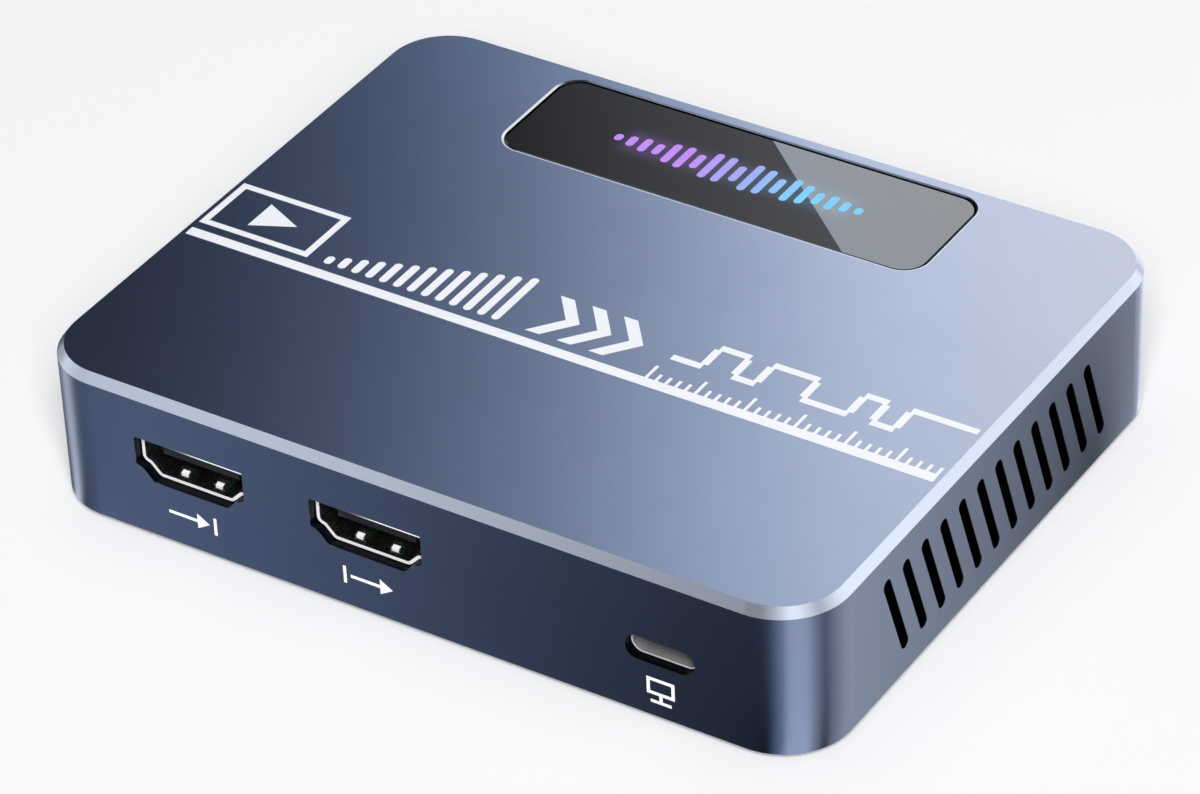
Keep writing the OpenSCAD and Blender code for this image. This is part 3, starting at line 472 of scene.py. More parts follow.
def anodised_housing(body):
    """Blasted, anodised aluminium whose bevel, window edge and foot were cut bright afterwards, with painted
    shade on the inner walls of its openings and painted highlights on its port and window edges.
    """
    material, shader, place = surface("anodised_housing", Coat_IOR=1.9, Coat_Roughness=0.28)
    x, y, z = split(place)
    half = (HOUSING[1] - HOUSING[0]) / 2
    side = rounded_distance(x, y, half.x, half.y, body.corner)
    fine = 0.02 * MM
    bevel = step(z, ROOF - body.bevel_down, ROOF - body.bevel_down + fine) * step(
        side, -body.bevel_in - fine, -body.bevel_in + fine
    )
    window_half = (WINDOW[1] - WINDOW[0]) / 2
    rim = rounded_distance(x, y - WINDOW_MIDDLE.y, window_half.x, window_half.y, body.window_corner)
    recess = step(z, GLASS - 0.3 * MM, GLASS) * step(rim, 0.36 * MM, 0.34 * MM)
    foot = step(z, HOUSING[0].z + body.foot_edge, HOUSING[0].z + body.foot_edge - fine)
    cut = bevel.math("MAXIMUM", recess).math("MAXIMUM", foot)
    # Painted shade: the inner walls of the ports and vents are painted nearly black, at 8 % of the anodised
    # colour
    opening_shade = (
        step(side, -0.06 * MM, -0.12 * MM)
        * step(side, -body.wall + 0.01 * MM, -body.wall + 0.05 * MM)
        * step(z, ROOF - 2.5 * MM, ROOF - 2.6 * MM)
        * (1 - foot)
    )
    # Painted highlights: light, non-metallic, uncoated colour on the port and window edges
    painted_highlight = port_highlight(body, x, y, z).math("MAXIMUM", window_highlight(x, y, z, rim))
    grain = noise(place, 0.11 * MM, 3.0)
    cloud = noise(place, 9 * MM, 3.0)
    tint = blend(ramp(cloud, 0.3, 0.7, 0, 1), *pair(body.anodised, 0.985, 1.015))
    speck = blend(ramp(grain, 0.25, 0.75, 0, 1), [0.93] * 3, [1.06] * 3)
    blasted = place.add(
        "ShaderNodeMix", {"data_type": "RGBA", "blend_type": "MULTIPLY"}, {0: 1.0, 6: tint, 7: speck}, out=2
    )
    tool = noise(place, 0.05 * MM, 1.0, (40, 40, 1))
    bright = blend(tool, *pair(body.cut, 0.94, 1.05))
    whole = blend(opening_shade, blend(cut, blasted, bright), [c * 0.08 for c in body.anodised])
    rough = ramp(grain, 0.3, 0.7, 0.36, 0.41)
    connect(
        shader,
        place,
        Base_Color=blend(painted_highlight, whole, body.edge_highlight),
        Metallic=1 - painted_highlight,
        Roughness=rough * (1 - cut) + ramp(tool, 0.3, 0.7, 0.20, 0.27) * cut,
        Coat_Weight=(1 - cut) * (1 - opening_shade) * (1 - painted_highlight) * ramp(cloud, 0.3, 0.7, 0.96, 1.0),
        Normal=bump(grain * (1 - cut), 0.004 * MM),
    )
    return material


def anodised_cover(body):
    """Base cover: the same blasting under a darker dye."""
    material, shader, place = surface("anodised_cover", Metallic=1.0, Coat_Weight=0.7, Coat_Roughness=0.4)
    grain = noise(place, 0.12 * MM, 3.0)
    cloud = noise(place, 12 * MM, 3.0)
    connect(
        shader,
        place,
        Base_Color=blend(cloud * 0.6 + grain * 0.4, *pair(body.cover, 0.85, 1.25)),
        Roughness=ramp(grain, 0.3, 0.7, 0.40, 0.52),
        Normal=bump(grain, 0.006 * MM),
    )
    return material


def pebbled_rubber(body):
    """Matt rubber with a fine moulded pebble."""
    material, shader, place = surface("pebbled_rubber", Specular_IOR_Level=0.35)
    pebble = cells(place, 0.45 * MM)
    dust = noise(place, 2.5 * MM, 4.0)
    connect(
        shader,
        place,
        Base_Color=blend(step(dust, 0.45, 0.75), *pair(body.rubber, 1.0, 2.4)),
        Roughness=ramp(dust, 0.3, 0.7, 0.72, 0.9),
        Normal=bump(1 - pebble, 0.03 * MM, 0.7),
    )
    return material


def metal(name, shade, rough, size, stretch=(1, 1, 1), relief=0.003):
    """Bare or plated metal with a drawn or pressed grain."""
    material, shader, place = surface(name, Metallic=1.0)
    grain = noise(place, size, 3.0, stretch)
    stain = noise(place, 4 * MM, 3.0)
    connect(
        shader,
        place,
        Base_Color=blend(stain * 0.6 + grain * 0.4, *pair(shade, 0.86, 1.08)),
        Roughness=ramp(grain, 0.3, 0.7, rough * 0.8, rough * 1.25),
        Normal=bump(grain, relief * MM),
    )
    return material


def plated_steel(name, metals, plated, shade_factor, edge, *nodes):
    """Drawn and plated sheet, darkened as painted shade by its fourth argument. Its front edge and the fronts
    of its springs carry painted highlights in a light, barely metallic colour.
    """
    material, shader, place = surface(name)
    x, y, z = split(place)
    boxes = [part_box(node) for node in nodes]
    front = boxes[0][0].y
    # Painted highlight: a light, barely metallic band along the front edge, as strong as the fifth argument
    # says
    bright = step(y, front + 0.05 * MM, front + 0.03 * MM) * edge
    if len(nodes) == 2:
        first, last = [(low.x + high.x) / 2 for low, high in boxes]
        across = abs(abs(x - (first + last) / 2) - (last - first) / 2)
        # Painted highlight on the fronts of the springs
        tip_highlight = step(abs(across - metals.spring), 0.52 * MM, 0.44 * MM)
        fore = step(y, front + 1.6 * MM, front + 1.5 * MM) * step(y, front + 1.0 * MM, front + 1.05 * MM)
        bright = bright.math("MAXIMUM", tip_highlight * fore)
    grain = noise(place, 0.12 * MM, 3.0, (1, 12, 1))
    stain = noise(place, 4 * MM, 3.0)
    # Painted shade: the fourth argument scales the steel colour down
    drawn = blend(stain * 0.85 + grain * 0.15, *pair(metals.steel, 0.9 * shade_factor, 1.06 * shade_factor))
    connect(
        shader,
        place,
        Base_Color=blend(bright, drawn, (0.94, 0.94, 0.95)),
        Metallic=plated * (1 - bright) + 0.1,
        Roughness=ramp(grain, 0.3, 0.7, 0.24, 0.28) + bright * 0.2,
        Normal=bump(grain, 0.0003 * MM),
    )
    dress(material, *nodes)


def moulded(name, shade, rough, size=0.15 * MM, relief=0.006, **fixed):
    """Moulded, fired or pressed material with a fine grain and slow changes of tone."""
    material, shader, place = surface(name, **fixed)
    grain = noise(place, size, 3.0)
    cloud = noise(place, 5 * MM, 3.0)
    connect(
        shader,
        place,
        Base_Color=blend(cloud * 0.5 + grain * 0.5, *pair(shade, 0.8, 1.2)),
        Roughness=ramp(grain, 0.3, 0.7, rough * 0.88, min(1, rough * 1.12)),
        Normal=bump(grain, relief * MM),
    )
    return material


def solder_mask(name, shade):
    """Board lacquer over copper traces, with plated pads and vias."""
    material, shader, place = surface(name, Coat_Weight=0.3, Coat_Roughness=0.2)
    x, y, z = split(place)
    bend = noise(place, 14 * MM, 1.0)
    lane = ((x + y * step(bend, 0.47, 0.53)) / (0.9 * MM)).math("FRACT")
    trace = step(abs(lane - 0.5), 0.24, 0.20) * step(noise(place, 6 * MM, 0.0), 0.44, 0.46)
    via = step(cells(place, 2.4 * MM), 0.17, 0.14)
    connect(
        shader,
        place,
        Base_Color=blend(via, blend(trace, shade, [c * 1.9 + 0.01 for c in shade]), (0.72, 0.62, 0.36)),
        Roughness=ramp(trace, 0, 1, 0.42, 0.34),
        Metallic=via,
        Normal=bump(trace * 0.6 + via, 0.02 * MM),
    )
    return material


def striped_ribbon():
    """Flat ribbon: white insulation over parallel conductors."""
    material, shader, place = surface("striped_ribbon")
    x, y, z = split(place)
    strand = abs(((y - WINDOW_MIDDLE.y) / (0.5 * MM)).math("FRACT") - 0.5)
    connect(
        shader,
        place,
        Base_Color=blend(step(strand, 0.28, 0.34), (0.80, 0.80, 0.80), (0.62, 0.62, 0.64)),
        Roughness=ramp(noise(place, 1 * MM), 0.3, 0.7, 0.36, 0.5),
        Normal=bump(step(strand, 0.4, 0.1), 0.02 * MM),
    )
    return material


def light_shade(light, x):
    """Colour of the window's light across its width."""
    reach = light.bar_count * light.bar_pitch / 2
    return x.add(
        "ShaderNodeValToRGB",
        {"stops": [(0.3, light.left), (0.52, light.middle), (0.75, light.right)]},
        {"Fac": ramp(x, -reach, reach, 0, 1)},
    )


def window_glass(light):
    """Dark gloss panel through which the glow round the lit bars shows."""
    material, shader, place = surface("window_glass", IOR=1.75, Emission_Strength=1.0)
    x, y, z = split(place)
    reach = light.bar_count * light.bar_pitch / 2
    across = (abs(x) - (reach - 3 * MM)).math("MAXIMUM", 0.0)
    along = (abs(y - WINDOW_MIDDLE.y) - 1.1 * MM).math("MAXIMUM", 0.0)
    away = (across * across + along * along).math("SQRT") / light.halo
    on_top = step(z, GLASS - 0.1 * MM, GLASS - 0.02 * MM)
    glow = (away * away * -0.35).math("EXPONENT") * on_top * light.glow
    smear = noise(place, 7 * MM, 4.0, (3, 1, 1))
    connect(
        shader,
        place,
        Base_Color=blend(smear, *pair(light.glass, 0.7, 1.4)),
        Roughness=ramp(smear, 0.35, 0.7, 0.0, 0.02),
        Emission_Color=blend(glow, (0, 0, 0), light_shade(light, x)),
    )
    return material


def window_light(light):
    """Lit bars seen through the window, in the colour of the light with a faint pale grain."""
    material, shader, place = surface(
        "window_light", Base_Color=(0.02, 0.02, 0.03, 1), Specular_IOR_Level=0.0, Emission_Strength=1.0
    )
    x, y, z = split(place)
    grain = noise(place, 0.5 * MM, 2.0)
    shade = light_shade(light, x)
    pale = blend(ramp(grain, 0.25, 0.75, 0.0, 0.05), shade, (0.95, 0.93, 1.0))
    connect(shader, place, Emission_Color=pale)
    return material


def printed_ink(ink):
    """Screen-printed white ink, a little uneven."""
    material, shader, place = surface("printed_ink", Specular_IOR_Level=0.4)
    grain = noise(place, 0.09 * MM, 3.0)
    cloud = noise(place, 5 * MM, 2.0)
    connect(
        shader,
        place,
        Base_Color=blend(cloud * 0.6 + grain * 0.4, *pair(ink, 0.95, 1.05)),
        Roughness=ramp(grain, 0.3, 0.7, 0.42, 0.58),
        Normal=bump(grain, 0.004 * MM),
    )
    return material


def dress(material, *names):
    """Gives CAD nodes a material."""
    for name in names:
        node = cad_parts[name]
        node.data.materials.clear()
        node.data.materials.append(material)


def add_piece(name, mesh, material):
    """Adds a finished mesh as a piece that rides on the housing."""
    mesh.materials.clear()
    mesh.materials.append(material)
    piece = bpy.data.objects.new(name, mesh)
    bpy.context.scene.collection.objects.link(piece)
    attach(piece, "root")
    return piece


def run_nodes(name, tree, values, start=None):
    """Runs a geometry tree on a mesh with the named inputs and returns a plain mesh."""
    holder = bpy.data.objects.new(name, start or bpy.data.meshes.new(name))
    bpy.context.scene.collection.objects.link(holder)
    modifier = holder.modifiers.new("shape", "NODES")
    modifier.node_group = tree
    for item in tree.interface.items_tree:
        if item.in_out == "INPUT" and item.name in values:
            modifier[item.identifier] = values[item.name]
    ready = holder.evaluated_get(bpy.context.evaluated_depsgraph_get())
    mesh = bpy.data.meshes.new_from_object(ready)
    mesh.name = name
    holder.modifiers.remove(modifier)
    bpy.data.objects.remove(holder)
    return mesh


def geometry_tree(name, inputs):
    """A new geometry tree with named inputs: the tree and a wire on its input node."""
    tree = bpy.data.node_groups.new(name, "GeometryNodeTree")
    tree.interface.new_socket("Geometry", in_out="INPUT", socket_type="NodeSocketGeometry")
    for label, kind in inputs:
        tree.interface.new_socket(label, in_out="INPUT", socket_type="NodeSocket" + kind)
    tree.interface.new_socket("Geometry", in_out="OUTPUT", socket_type="NodeSocketGeometry")
    return tree, Wire(tree).add("NodeGroupInput", out="Geometry")


def close_tree(shape, material):
    """Ends a geometry tree: instances made real, material set."""
    real = shape.add("GeometryNodeRealizeInstances", sockets={"Geometry": shape})
    done = real.add("GeometryNodeSetMaterial", sockets={"Geometry": real, "Material": material})
    done.add("NodeGroupOutput", sockets={"Geometry": done})


def bar_row_tree():
    """Row of flat bars with round ends. A disc is put at each place, and its halves are moved apart."""
    tree, start = geometry_tree(
        "bar_row",
        [("Count", "Int"), ("Pitch", "Float"), ("Width", "Float"), ("Shortest", "Float"),
         ("Longest", "Float"), ("Wave", "Float"), ("Stand", "Float"), ("Thickness", "Float"),
         ("Middle", "Vector"), ("Material", "Material")],
    )
    count, pitch = start.other("Count"), start.other("Pitch")
    width, thickness = start.other("Width"), start.other("Thickness")
    shortest, longest = start.other("Shortest"), start.other("Longest")
    disc = start.add(
        "GeometryNodeMeshCircle", {"fill_type": "NGON"}, {"Vertices": 28, "Radius": width / 2}
    )
    turned = start.add(
        "GeometryNodeTransform", sockets={"Geometry": disc, "Rotation": (0, 0, math.pi / 28)}
    )
    raised = start.add(
        "GeometryNodeExtrudeMesh", sockets={"Mesh": turned, "Offset Scale": thickness}
    )
    spot = start.add("GeometryNodeInputPosition")
    half = split(spot)[1].math("SIGN")
    halves = start.add(
        "GeometryNodeStoreNamedAttribute",
        {"data_type": "FLOAT", "domain": "POINT"},
        {"Geometry": raised, "Name": "half", "Value": half},
    )
    first = start.add("ShaderNodeCombineXYZ", sockets={"X": (count - 1) * pitch * -0.5})
    stride = start.add("ShaderNodeCombineXYZ", sockets={"X": pitch})
    line = start.add(
        "GeometryNodeMeshLine",
        {"mode": "OFFSET"},
        {"Count": count, "Start Location": first, "Offset": stride},
    )
    part = start.add("GeometryNodeInputIndex") / (count - 1)
    swell = (part * math.pi).math("SINE") * (abs((part * 19.0).math("SINE")) * 0.62 + 0.38)
    wave = start.other("Wave")
    rule = swell * wave + part * (1 - wave)
    reach = (shortest + (longest - shortest) * rule - width) / 2
    lengths = start.add(
        "GeometryNodeStoreNamedAttribute",
        {"data_type": "FLOAT", "domain": "POINT"},
        {"Geometry": line, "Name": "reach", "Value": reach},
    )
    bars = start.add("GeometryNodeInstanceOnPoints", sockets={"Points": lengths, "Instance": halves})
    real = start.add("GeometryNodeRealizeInstances", sockets={"Geometry": bars})
    moved = start.add("GeometryNodeInputNamedAttribute", {"data_type": "FLOAT"}, {"Name": "reach"})
    sign = start.add("GeometryNodeInputNamedAttribute", {"data_type": "FLOAT"}, {"Name": "half"})
    shift = start.add(
        "ShaderNodeCombineXYZ", sockets={"Y": moved * sign + (moved + width / 2) * start.other("Stand")}
    )
    apart = start.add("GeometryNodeSetPosition", sockets={"Geometry": real, "Offset": shift})
    placed = start.add(
        "GeometryNodeTransform", sockets={"Geometry": apart, "Translation": start.other("Middle")}
    )
    close_tree(placed, start.other("Material"))
    return tree


def tick_row_tree():
    """Row of upright ticks on a line, every fifth one longer."""
    tree, start = geometry_tree(
        "tick_row",
        [("Count", "Int"), ("Pitch", "Float"), ("Width", "Float"), ("Short", "Float"), ("Long", "Float"),
         ("Thickness", "Float"), ("First", "Vector"), ("Material", "Material")],
    )
    width, thickness = start.other("Width"), start.other("Thickness")
    stride = start.add("ShaderNodeCombineXYZ", sockets={"X": start.other("Pitch")})
    line = start.add(
        "GeometryNodeMeshLine",
        {"mode": "OFFSET"},
        {"Count": start.other("Count"), "Start Location": start.other("First"), "Offset": stride},
    )
    fifth = (start.add("GeometryNodeInputIndex").math("MODULO", 5.0)).math("LESS_THAN", 0.5)
    tall = start.other("Short") + (start.other("Long") - start.other("Short")) * fifth
    unit = start.add("GeometryNodeMeshCube", sockets={"Size": (1, 1, 1)})
    stood = start.add("GeometryNodeTransform", sockets={"Geometry": unit, "Translation": (0, 0.5, 0.5)})
    size = start.add("ShaderNodeCombineXYZ", sockets={"X": width, "Y": tall, "Z": thickness})
    ticks = start.add(
        "GeometryNodeInstanceOnPoints", sockets={"Points": line, "Instance": stood, "Scale": size}
    )
    close_tree(ticks, start.other("Material"))
    return tree


def flat_mesh(name, outlines, place, thickness):
    """Flat prisms from outlines in millimetres. place maps (across, up, out) in metres to the row frame."""
    made = bmesh.new()
    for outline in outlines:
        low = [made.verts.new(place(a * MM, b * MM, 0.0)) for a, b in outline]
        high = [made.verts.new(place(a * MM, b * MM, thickness)) for a, b in outline]
        made.faces.new(high)
        made.faces.new(low[::-1])
        for i in range(len(outline)):
            j = (i + 1) % len(outline)
            made.faces.new((low[i], low[j], high[j], high[i]))
    bmesh.ops.recalc_face_normals(made, faces=made.faces)
    mesh = bpy.data.meshes.new(name)
    made.to_mesh(mesh)
    made.free()
    return mesh


def box_outline(left, low, right, high):
    return [(left, low), (right, low), (right, high), (left, high)]


def stroke(ax, ay, bx, by, width):
    """Outline of a straight stroke between two points."""
    dx, dy = bx - ax, by - ay
    far = math.hypot(dx, dy)
    nx, ny = -dy / far * width / 2, dx / far * width / 2
    return [(ax + nx, ay + ny), (ax - nx, ay - ny), (bx - nx, by - ny), (bx + nx, by + ny)]


def frame_strokes(left, low, right, high, width):
    """Four strokes round a rectangle, butted so that they don't overlap."""
    return [
        box_outline(left, low, right, low + width),
        box_outline(left, high - width, right, high),
        box_outline(left, low + width, left + width, high - width),
        box_outline(right - width, low + width, right, high - width),
    ]


def on_roof(across, up, out):
    return (across, up, ROOF + out)


def on_front(across, up, out):
    return (across, FRONT - out, up)


def stage_mesh(name, corners, faces):
    """A mesh on the stage."""
    mesh = bpy.data.meshes.new(name)
    mesh.from_pydata([tuple(c) for c in corners], [], faces)
    piece = bpy.data.objects.new(name, mesh)
    bpy.context.scene.collection.objects.link(piece)
    return piece


def card_glow():
    """Light of the cards, as bright at each point as its mesh says."""
    material = bpy.data.materials.new("card_glow")
    material.use_nodes = True
    tree = material.node_tree
    tree.nodes.remove(tree.nodes["Principled BSDF"])
    shade = Wire(tree).add("ShaderNodeAttribute", {"attribute_name": "glow"}, out="Color")
    glow = shade.add("ShaderNodeEmission", sockets={"Color": shade, "Strength": 1.0})
    glow.feed(tree.nodes["Material Output"].inputs["Surface"], glow)
    return material


def mirrored(scene, x, y, facing, lean, height):
    """A spot on a wall one corner radius off the place, and the way in which it mirrors the camera's look."""
    turn = math.radians(facing)
    outward = Vector((math.sin(turn), -math.cos(turn), 0))
    spot = Vector((x, y, height)) + outward * (scene.capture_box_body.corner / MM + 0.1)
    wall = outward * math.cos(lean) + Vector((0, 0, math.sin(lean)))
    return spot, (spot - Vector(scene.capture_box_studio.camera) / MM).reflect(wall)


def foot_column(scene, x, y, facing, brightness, tint):
    """A column that lies on the floor, from the foot of a wall outwards."""
    spot, way = mirrored(scene, x, y, facing, 0, 10)
    way.z = 0
    low = Vector((spot.x, spot.y, 0.5))
    return low, low + way.normalized() * FOOT_REACH, [c * brightness for c in tint]


def rim_column(scene, x, y, facing, brightness, tint):
    """An upright column round the box that the bevel mirrors."""
    body = scene.capture_box_body
    spot, way = mirrored(scene, x, y, facing, math.atan2(body.bevel_in, body.bevel_down), 20)
    middle = spot + way.normalized() * RIM_AWAY
    half = Vector((0, 0, RIM_HALF))
    return middle - half, middle + half, [c * brightness for c in tint]


def light_card(name, columns, glow):
    """A card that metal and glass mirror, built from columns of low point, high point and brightness."""
    corners = [point * MM for low, high, shade in columns for point in (low, high)]
    faces = [(2 * i, 2 * i + 2, 2 * i + 3, 2 * i + 1) for i in range(len(columns) - 1)]
    card = stage_mesh(name, corners, faces)
    shades = card.data.attributes.new("glow", "FLOAT_COLOR", "POINT")
    for i, (low, high, shade) in enumerate(columns):
        shades.data[2 * i].color = shades.data[2 * i + 1].color = rgba(shade)
    card.data.materials.append(glow)
    card.visible_camera = card.visible_diffuse = card.visible_shadow = card.visible_transmission = False


def socket_middle(node):
    """Middle of a socket across the box, in millimetres."""
    low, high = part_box(node)
    return (low.x + high.x) / 2 / MM


class CAPTURE_BOX_OT_housing(bpy.types.Operator):
    """Finish the housing, its cover, screws and feet"""

    bl_idname = "capture_box.housing"
    bl_label = "Housing"

    def execute(self, context):
        body = context.scene.capture_box_body
        dress(anodised_housing(body), "housing")
        dress(anodised_cover(body), "base_cover")
        dress(metal("blackened_screws", (0.06, 0.06, 0.065), 0.34, 0.2 * MM, relief=0.006), "base_screws")
        dress(pebbled_rubber(body), "rubber_feet")
        return {"FINISHED"}


class CAPTURE_BOX_OT_window(bpy.types.Operator):
    """Finish the window and make the lit level meter in it"""

    bl_idname = "capture_box.window"
    bl_label = "Window"

    def execute(self, context):
        light = context.scene.capture_box_light
        dress(window_glass(light), "window_panel")
        lit = window_light(light)
        mesh = run_nodes(
            "lit_level_meter",
            bar_row_tree(),
            {
                "Count": light.bar_count,
                "Pitch": light.bar_pitch,
                "Width": light.bar_width,
                "Shortest": light.shortest,
                "Longest": light.longest,
                "Wave": 1.0,
                "Stand": 0.0,
                "Thickness": 0.01 * MM,
                "Middle": Vector((0, WINDOW_MIDDLE.y, GLASS + 0.002 * MM)),
                "Material": lit,
            },
        )
        add_piece("lit_level_meter", mesh, lit)
        return {"FINISHED"}


class CAPTURE_BOX_OT_light_unit(bpy.types.Operator):
    """Finish the light unit under the window"""

    bl_idname = "capture_box.light_unit"
    bl_label = "Light unit"

    def execute(self, context):
        mask = context.scene.capture_box_metals.mask
        dress(moulded("black_tape", (0.03, 0.03, 0.032), 0.7), "window_tape")
        dress(moulded("milky_diffuser", (0.80, 0.80, 0.83), 0.45, Subsurface_Weight=0.2), "light_diffuser")
        dress(moulded("white_reflector", (0.82, 0.82, 0.82), 0.5), "light_box")
        dress(moulded("resin_light_source", (0.80, 0.74, 0.48), 0.3), "light_leds")
        dress(solder_mask("light_board_lacquer", [0.75, 0.75, 0.74]), "light_board")
        dress(
            metal("bright_screws", (0.66, 0.66, 0.67), 0.28, 0.2 * MM, relief=0.006),
            "light_board_screws", "board_screws",
        )
        dress(striped_ribbon(), "light_ribbon")
        dress(moulded("ivory_socket", (0.70, 0.66, 0.55), 0.42), "light_board_socket", "main_board_socket")
        dress(solder_mask("main_board_lacquer", list(mask)), "main_board")
        return {"FINISHED"}


class CAPTURE_BOX_OT_sockets(bpy.types.Operator):
    """Finish the sockets, their insulators and contacts"""

    bl_idname = "capture_box.sockets"
    bl_label = "Sockets"

    def execute(self, context):
        metals = context.scene.capture_box_metals
        plated_steel("video_steel", metals, 0.9, 1.0, 1.0, "video_in_shell", "video_out_shell")
        # Painted shade: the data socket's shell is the same plated steel painted darker, with a weaker
        # painted highlight on its front edge
        plated_steel("data_steel", metals, 0.5, 0.6, 0.6, "data_shell")
        dress(moulded("black_insulator", metals.insulator, 0.5), "video_in_insulator", "video_out_insulator")
        dress(moulded("grey_insulator", [c * 6 for c in metals.insulator], 0.5), "data_insulator")
        dress(
            metal("gold_contacts", metals.gold, 0.2, 0.1 * MM, (1, 8, 1), 0.001),
            "video_in_contacts", "video_out_contacts", "data_contacts",
        )
        return {"FINISHED"}


class CAPTURE_BOX_OT_board(bpy.types.Operator):
    """Finish the pieces on the main board"""

    bl_idname = "capture_box.board"
    bl_label = "Board pieces"

    def execute(self, context):
        chip = context.scene.capture_box_metals.chip
        dress(
            moulded("moulded_chips", chip, 0.55),
            "input_receiver", "output_driver", "data_controller", "memory_chips", "flash_chip",
            "light_controller", "power_regulators",
        )
        dress(moulded("processor_cap", (0.02, 0.035, 0.025), 0.5), "video_processor")
        dress(moulded("soft_thermal_pad", (0.62, 0.48, 0.53), 0.75, 0.3 * MM, 0.01), "thermal_pad")
        dress(metal("extruded_sink", (0.62, 0.63, 0.65), 0.36, 0.08 * MM, (60, 1, 1)), "heat_sink")
        dress(metal("drawn_cans", (0.70, 0.70, 0.72), 0.26, 0.1 * MM, (1, 1, 10)), "bulk_capacitors")
        dress(metal("crystal_cans", (0.72, 0.72, 0.73), 0.25, 0.15 * MM), "clock_crystals")
        dress(moulded("pressed_inductor", (0.09, 0.09, 0.095), 0.6, 0.12 * MM, 0.012), "power_inductors")
        dress(moulded("fired_ceramic", (0.50, 0.38, 0.24), 0.4), "ceramic_capacitors")
        return {"FINISHED"}


class CAPTURE_BOX_OT_roof_print(bpy.types.Operator):
    """Print the rule, level meter, scale and screen on the roof"""

    bl_idname = "capture_box.roof_print"
    bl_label = "Roof print"

    def execute(self, context):
        sizes = context.scene.capture_box_print
        ink = printed_ink(sizes.ink)
        half = sizes.rule_length / MM / 2
        low = (-sizes.rule_y - sizes.rule_width / 2) / MM
        rule_top = low + sizes.rule_width / MM
        base = rule_top + PRINT_GAP
        foot = base + PRINT_FOOT
        prints = {"roof_rule": [box_outline(-half, low, half, rule_top)]}
        width, height = SCREEN_SIZE
        prints["roof_screen"] = frame_strokes(-half, foot, -half + width, foot + height, 0.9)
        left, right = -half + 5.5, -half + 10.9
        prints["roof_screen"].append([(left, foot + 2.2), (right, foot + 4.7), (left, foot + 7.2)])
        point = foot + ARROW_HALF
        prints["roof_arrows"] = [
            [(x, y), (x + ARROW_STROKE, y), (x + ARROW_STROKE + ARROW_DEPTH, point), (x + ARROW_DEPTH, point)]
            for x in ARROW_PLACES
            for y in (foot, point + ARROW_HALF)
        ]
        pulse = prints["roof_pulse"] = []
        level = base + PULSE_LOW
        for left, right, up in (*PULSE_STEPS, (PULSE_STEPS[-1][1], half, 1)):
            y = level + up * PULSE_RISE
            pulse.append(box_outline(left, y - PULSE_HALF, right, y + PULSE_HALF))
            if right < half:
                rise = (level + PULSE_HALF, level + PULSE_RISE - PULSE_HALF)
                pulse.append(box_outline(right - PULSE_HALF, rise[0], right + PULSE_HALF, rise[1]))
        for name, outlines in prints.items():
            add_piece(name, flat_mesh(name, outlines, on_roof, sizes.thickness), ink)
        meter = run_nodes(
            "roof_meter",
            bar_row_tree(),
            {
                "Count": sizes.bar_count,
                "Pitch": sizes.bar_pitch,
                "Width": sizes.bar_width,
                "Shortest": 1.6 * MM,
                "Longest": 9.4 * MM,
                "Wave": 0.0,
                "Stand": 1.0,
                "Thickness": sizes.thickness,
                "Middle": Vector((-20.6 * MM, foot * MM, ROOF)),
                "Material": ink,
            },
        )
        add_piece("roof_meter", meter, ink)
        first = (half - 0.25) * MM - (sizes.tick_count - 1) * sizes.tick_pitch
        scale = run_nodes(
            "roof_scale",
            tick_row_tree(),
            {
                "Count": sizes.tick_count,
                "Pitch": sizes.tick_pitch,
                "Width": sizes.line,
                "Short": 1.3 * MM,
                "Long": 2.6 * MM,
                "Thickness": sizes.thickness,
                "First": Vector((first, rule_top * MM, ROOF)),
                "Material": ink,
            },
        )
        add_piece("roof_scale", scale, ink)
        return {"FINISHED"}


class CAPTURE_BOX_OT_socket_marks(bpy.types.Operator):
    """Print the marks under the sockets"""

    bl_idname = "capture_box.socket_marks"
    bl_label = "Socket marks"

    def execute(self, context):
        sizes = context.scene.capture_box_print
        ink = printed_ink(sizes.ink)
        line = sizes.line / MM
        for name, node, bar, start in (
            ("mark_in", "video_in_shell", 2.9, -3.4),
            ("mark_out", "video_out_shell", -3.4, -2.4),
        ):
            x, z = socket_middle(node), MARK_HEIGHT
            head = x + start + 4.0
            marks = [
                box_outline(x + bar, z - 1.2, x + bar + line, z + 1.2),
                stroke(x + start, z, head, z, line),
                [(head, z - 1.05), (head + 1.7, z), (head, z + 1.05)],
            ]
            add_piece(name, flat_mesh(name, marks, on_front, sizes.thickness), ink)
        x = socket_middle("data_shell")
        screen = frame_strokes(x - 1.8, 4.0, x + 1.8, 6.3, line)
        screen.append(box_outline(x - line / 2, 3.25, x + line / 2, 4.0))
        screen.append(box_outline(x - 1.35, 2.85, x + 1.35, 3.25))
        add_piece("mark_screen", flat_mesh("mark_screen", screen, on_front, sizes.thickness), ink)
        return {"FINISHED"}


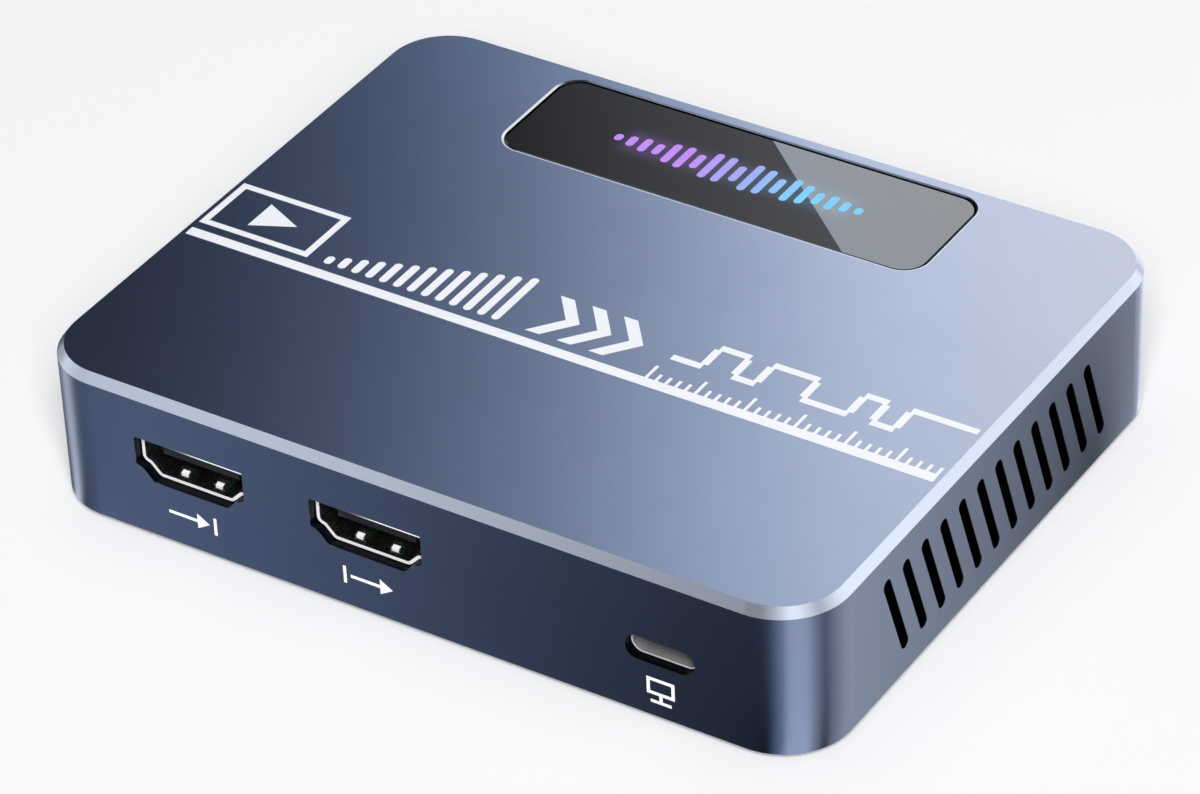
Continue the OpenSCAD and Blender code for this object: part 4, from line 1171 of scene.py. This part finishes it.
class CAPTURE_BOX_OT_stage(bpy.types.Operator):
    """Set up the floor, the lamps, the light cards and the camera"""

    bl_idname = "capture_box.stage"
    bl_label = "Stage"

    def execute(self, context):
        studio = context.scene.capture_box_studio
        scene = context.scene
        scene.view_settings.view_transform = "Standard"
        world = bpy.data.worlds.new("studio")
        world.use_nodes = True
        world.node_tree.nodes["Background"].inputs["Color"].default_value = rgba(studio.ambient)
        scene.world = world
        floor = stage_mesh("floor", [(-4, -4, 0), (4, -4, 0), (4, 4, 0), (-4, 4, 0)], [(0, 1, 2, 3)])
        paper, shader, place = surface("floor_paper", Specular_IOR_Level=0.1)
        connect(
            shader,
            place,
            Base_Color=blend(noise(place, 0.3), [c * 0.985 for c in studio.floor], studio.floor),
            Roughness=ramp(noise(place, 0.002), 0.3, 0.7, 0.85, 0.95),
        )
        floor.data.materials.append(paper)
        turn = Euler(studio.turn).to_matrix()
        away = (turn @ Vector((0, 0, -1))) * Vector((1, 1, 0))
        away.normalize()
        view = Matrix(((away.y, away.x, 0), (-away.x, away.y, 0), (0, 0, 1)))
        glow = card_glow()
        for name, rows in VIEW_CARDS.items():
            columns = [(view @ Vector(low), view @ Vector(high), shade) for low, high, shade in rows]
            light_card(name, columns, glow)
        light_card("foot_strip", [foot_column(scene, *row) for row in FOOT_STRIP], glow)
        light_card("rim_strip", [rim_column(scene, *row) for row in RIM_STRIP], glow)
        for name, (place, size, power) in LAMPS.items():
            lamp = bpy.data.lights.new(name, "AREA")
            lamp.size = size
            lamp.energy = power
            holder = bpy.data.objects.new(name, lamp)
            holder.location = place
            holder.rotation_euler = (-holder.location).to_track_quat("-Z", "Y").to_euler()
            holder.visible_camera = holder.visible_glossy = False
            scene.collection.objects.link(holder)
        camera = bpy.data.objects.new("camera", bpy.data.cameras.new("camera"))
        camera.data.lens = studio.lens
        camera.data.sensor_width = 36.0
        camera.data.clip_start = 0.01
        camera.location = studio.camera
        camera.rotation_euler = studio.turn
        scene.collection.objects.link(camera)
        scene.camera = camera
        return {"FINISHED"}


class CAPTURE_BOX_PT_panel(bpy.types.Panel):
    """Lists the operators in the order they run"""

    bl_label = "Capture Box"
    bl_idname = "CAPTURE_BOX_PT_panel"
    bl_space_type = "VIEW_3D"
    bl_region_type = "UI"
    bl_category = "Capture Box"

    def draw(self, context):
        for operator in OPERATORS:
            self.layout.operator(operator.bl_idname)


GROUPS = {
    "capture_box_body": CaptureBoxBody,
    "capture_box_print": CaptureBoxPrint,
    "capture_box_light": CaptureBoxLight,
    "capture_box_metals": CaptureBoxMetals,
    "capture_box_studio": CaptureBoxStudio,
}
OPERATORS = (
    CAPTURE_BOX_OT_housing,
    CAPTURE_BOX_OT_window,
    CAPTURE_BOX_OT_light_unit,
    CAPTURE_BOX_OT_sockets,
    CAPTURE_BOX_OT_board,
    CAPTURE_BOX_OT_roof_print,
    CAPTURE_BOX_OT_socket_marks,
    CAPTURE_BOX_OT_stage,
)


def register():
    for name, group in GROUPS.items():
        bpy.utils.register_class(group)
        setattr(bpy.types.Scene, name, PointerProperty(type=group))
    for kind in (*OPERATORS, CAPTURE_BOX_PT_panel):
        bpy.utils.register_class(kind)


def unregister():
    for kind in (CAPTURE_BOX_PT_panel, *reversed(OPERATORS)):
        bpy.utils.unregister_class(kind)
    for name, group in reversed(GROUPS.items()):
        delattr(bpy.types.Scene, name)
        bpy.utils.unregister_class(group)


def main():
    register()
    for operator in OPERATORS:
        getattr(bpy.ops.capture_box, operator.bl_idname.split(".")[1])()


if __name__ == "__main__":
    main()
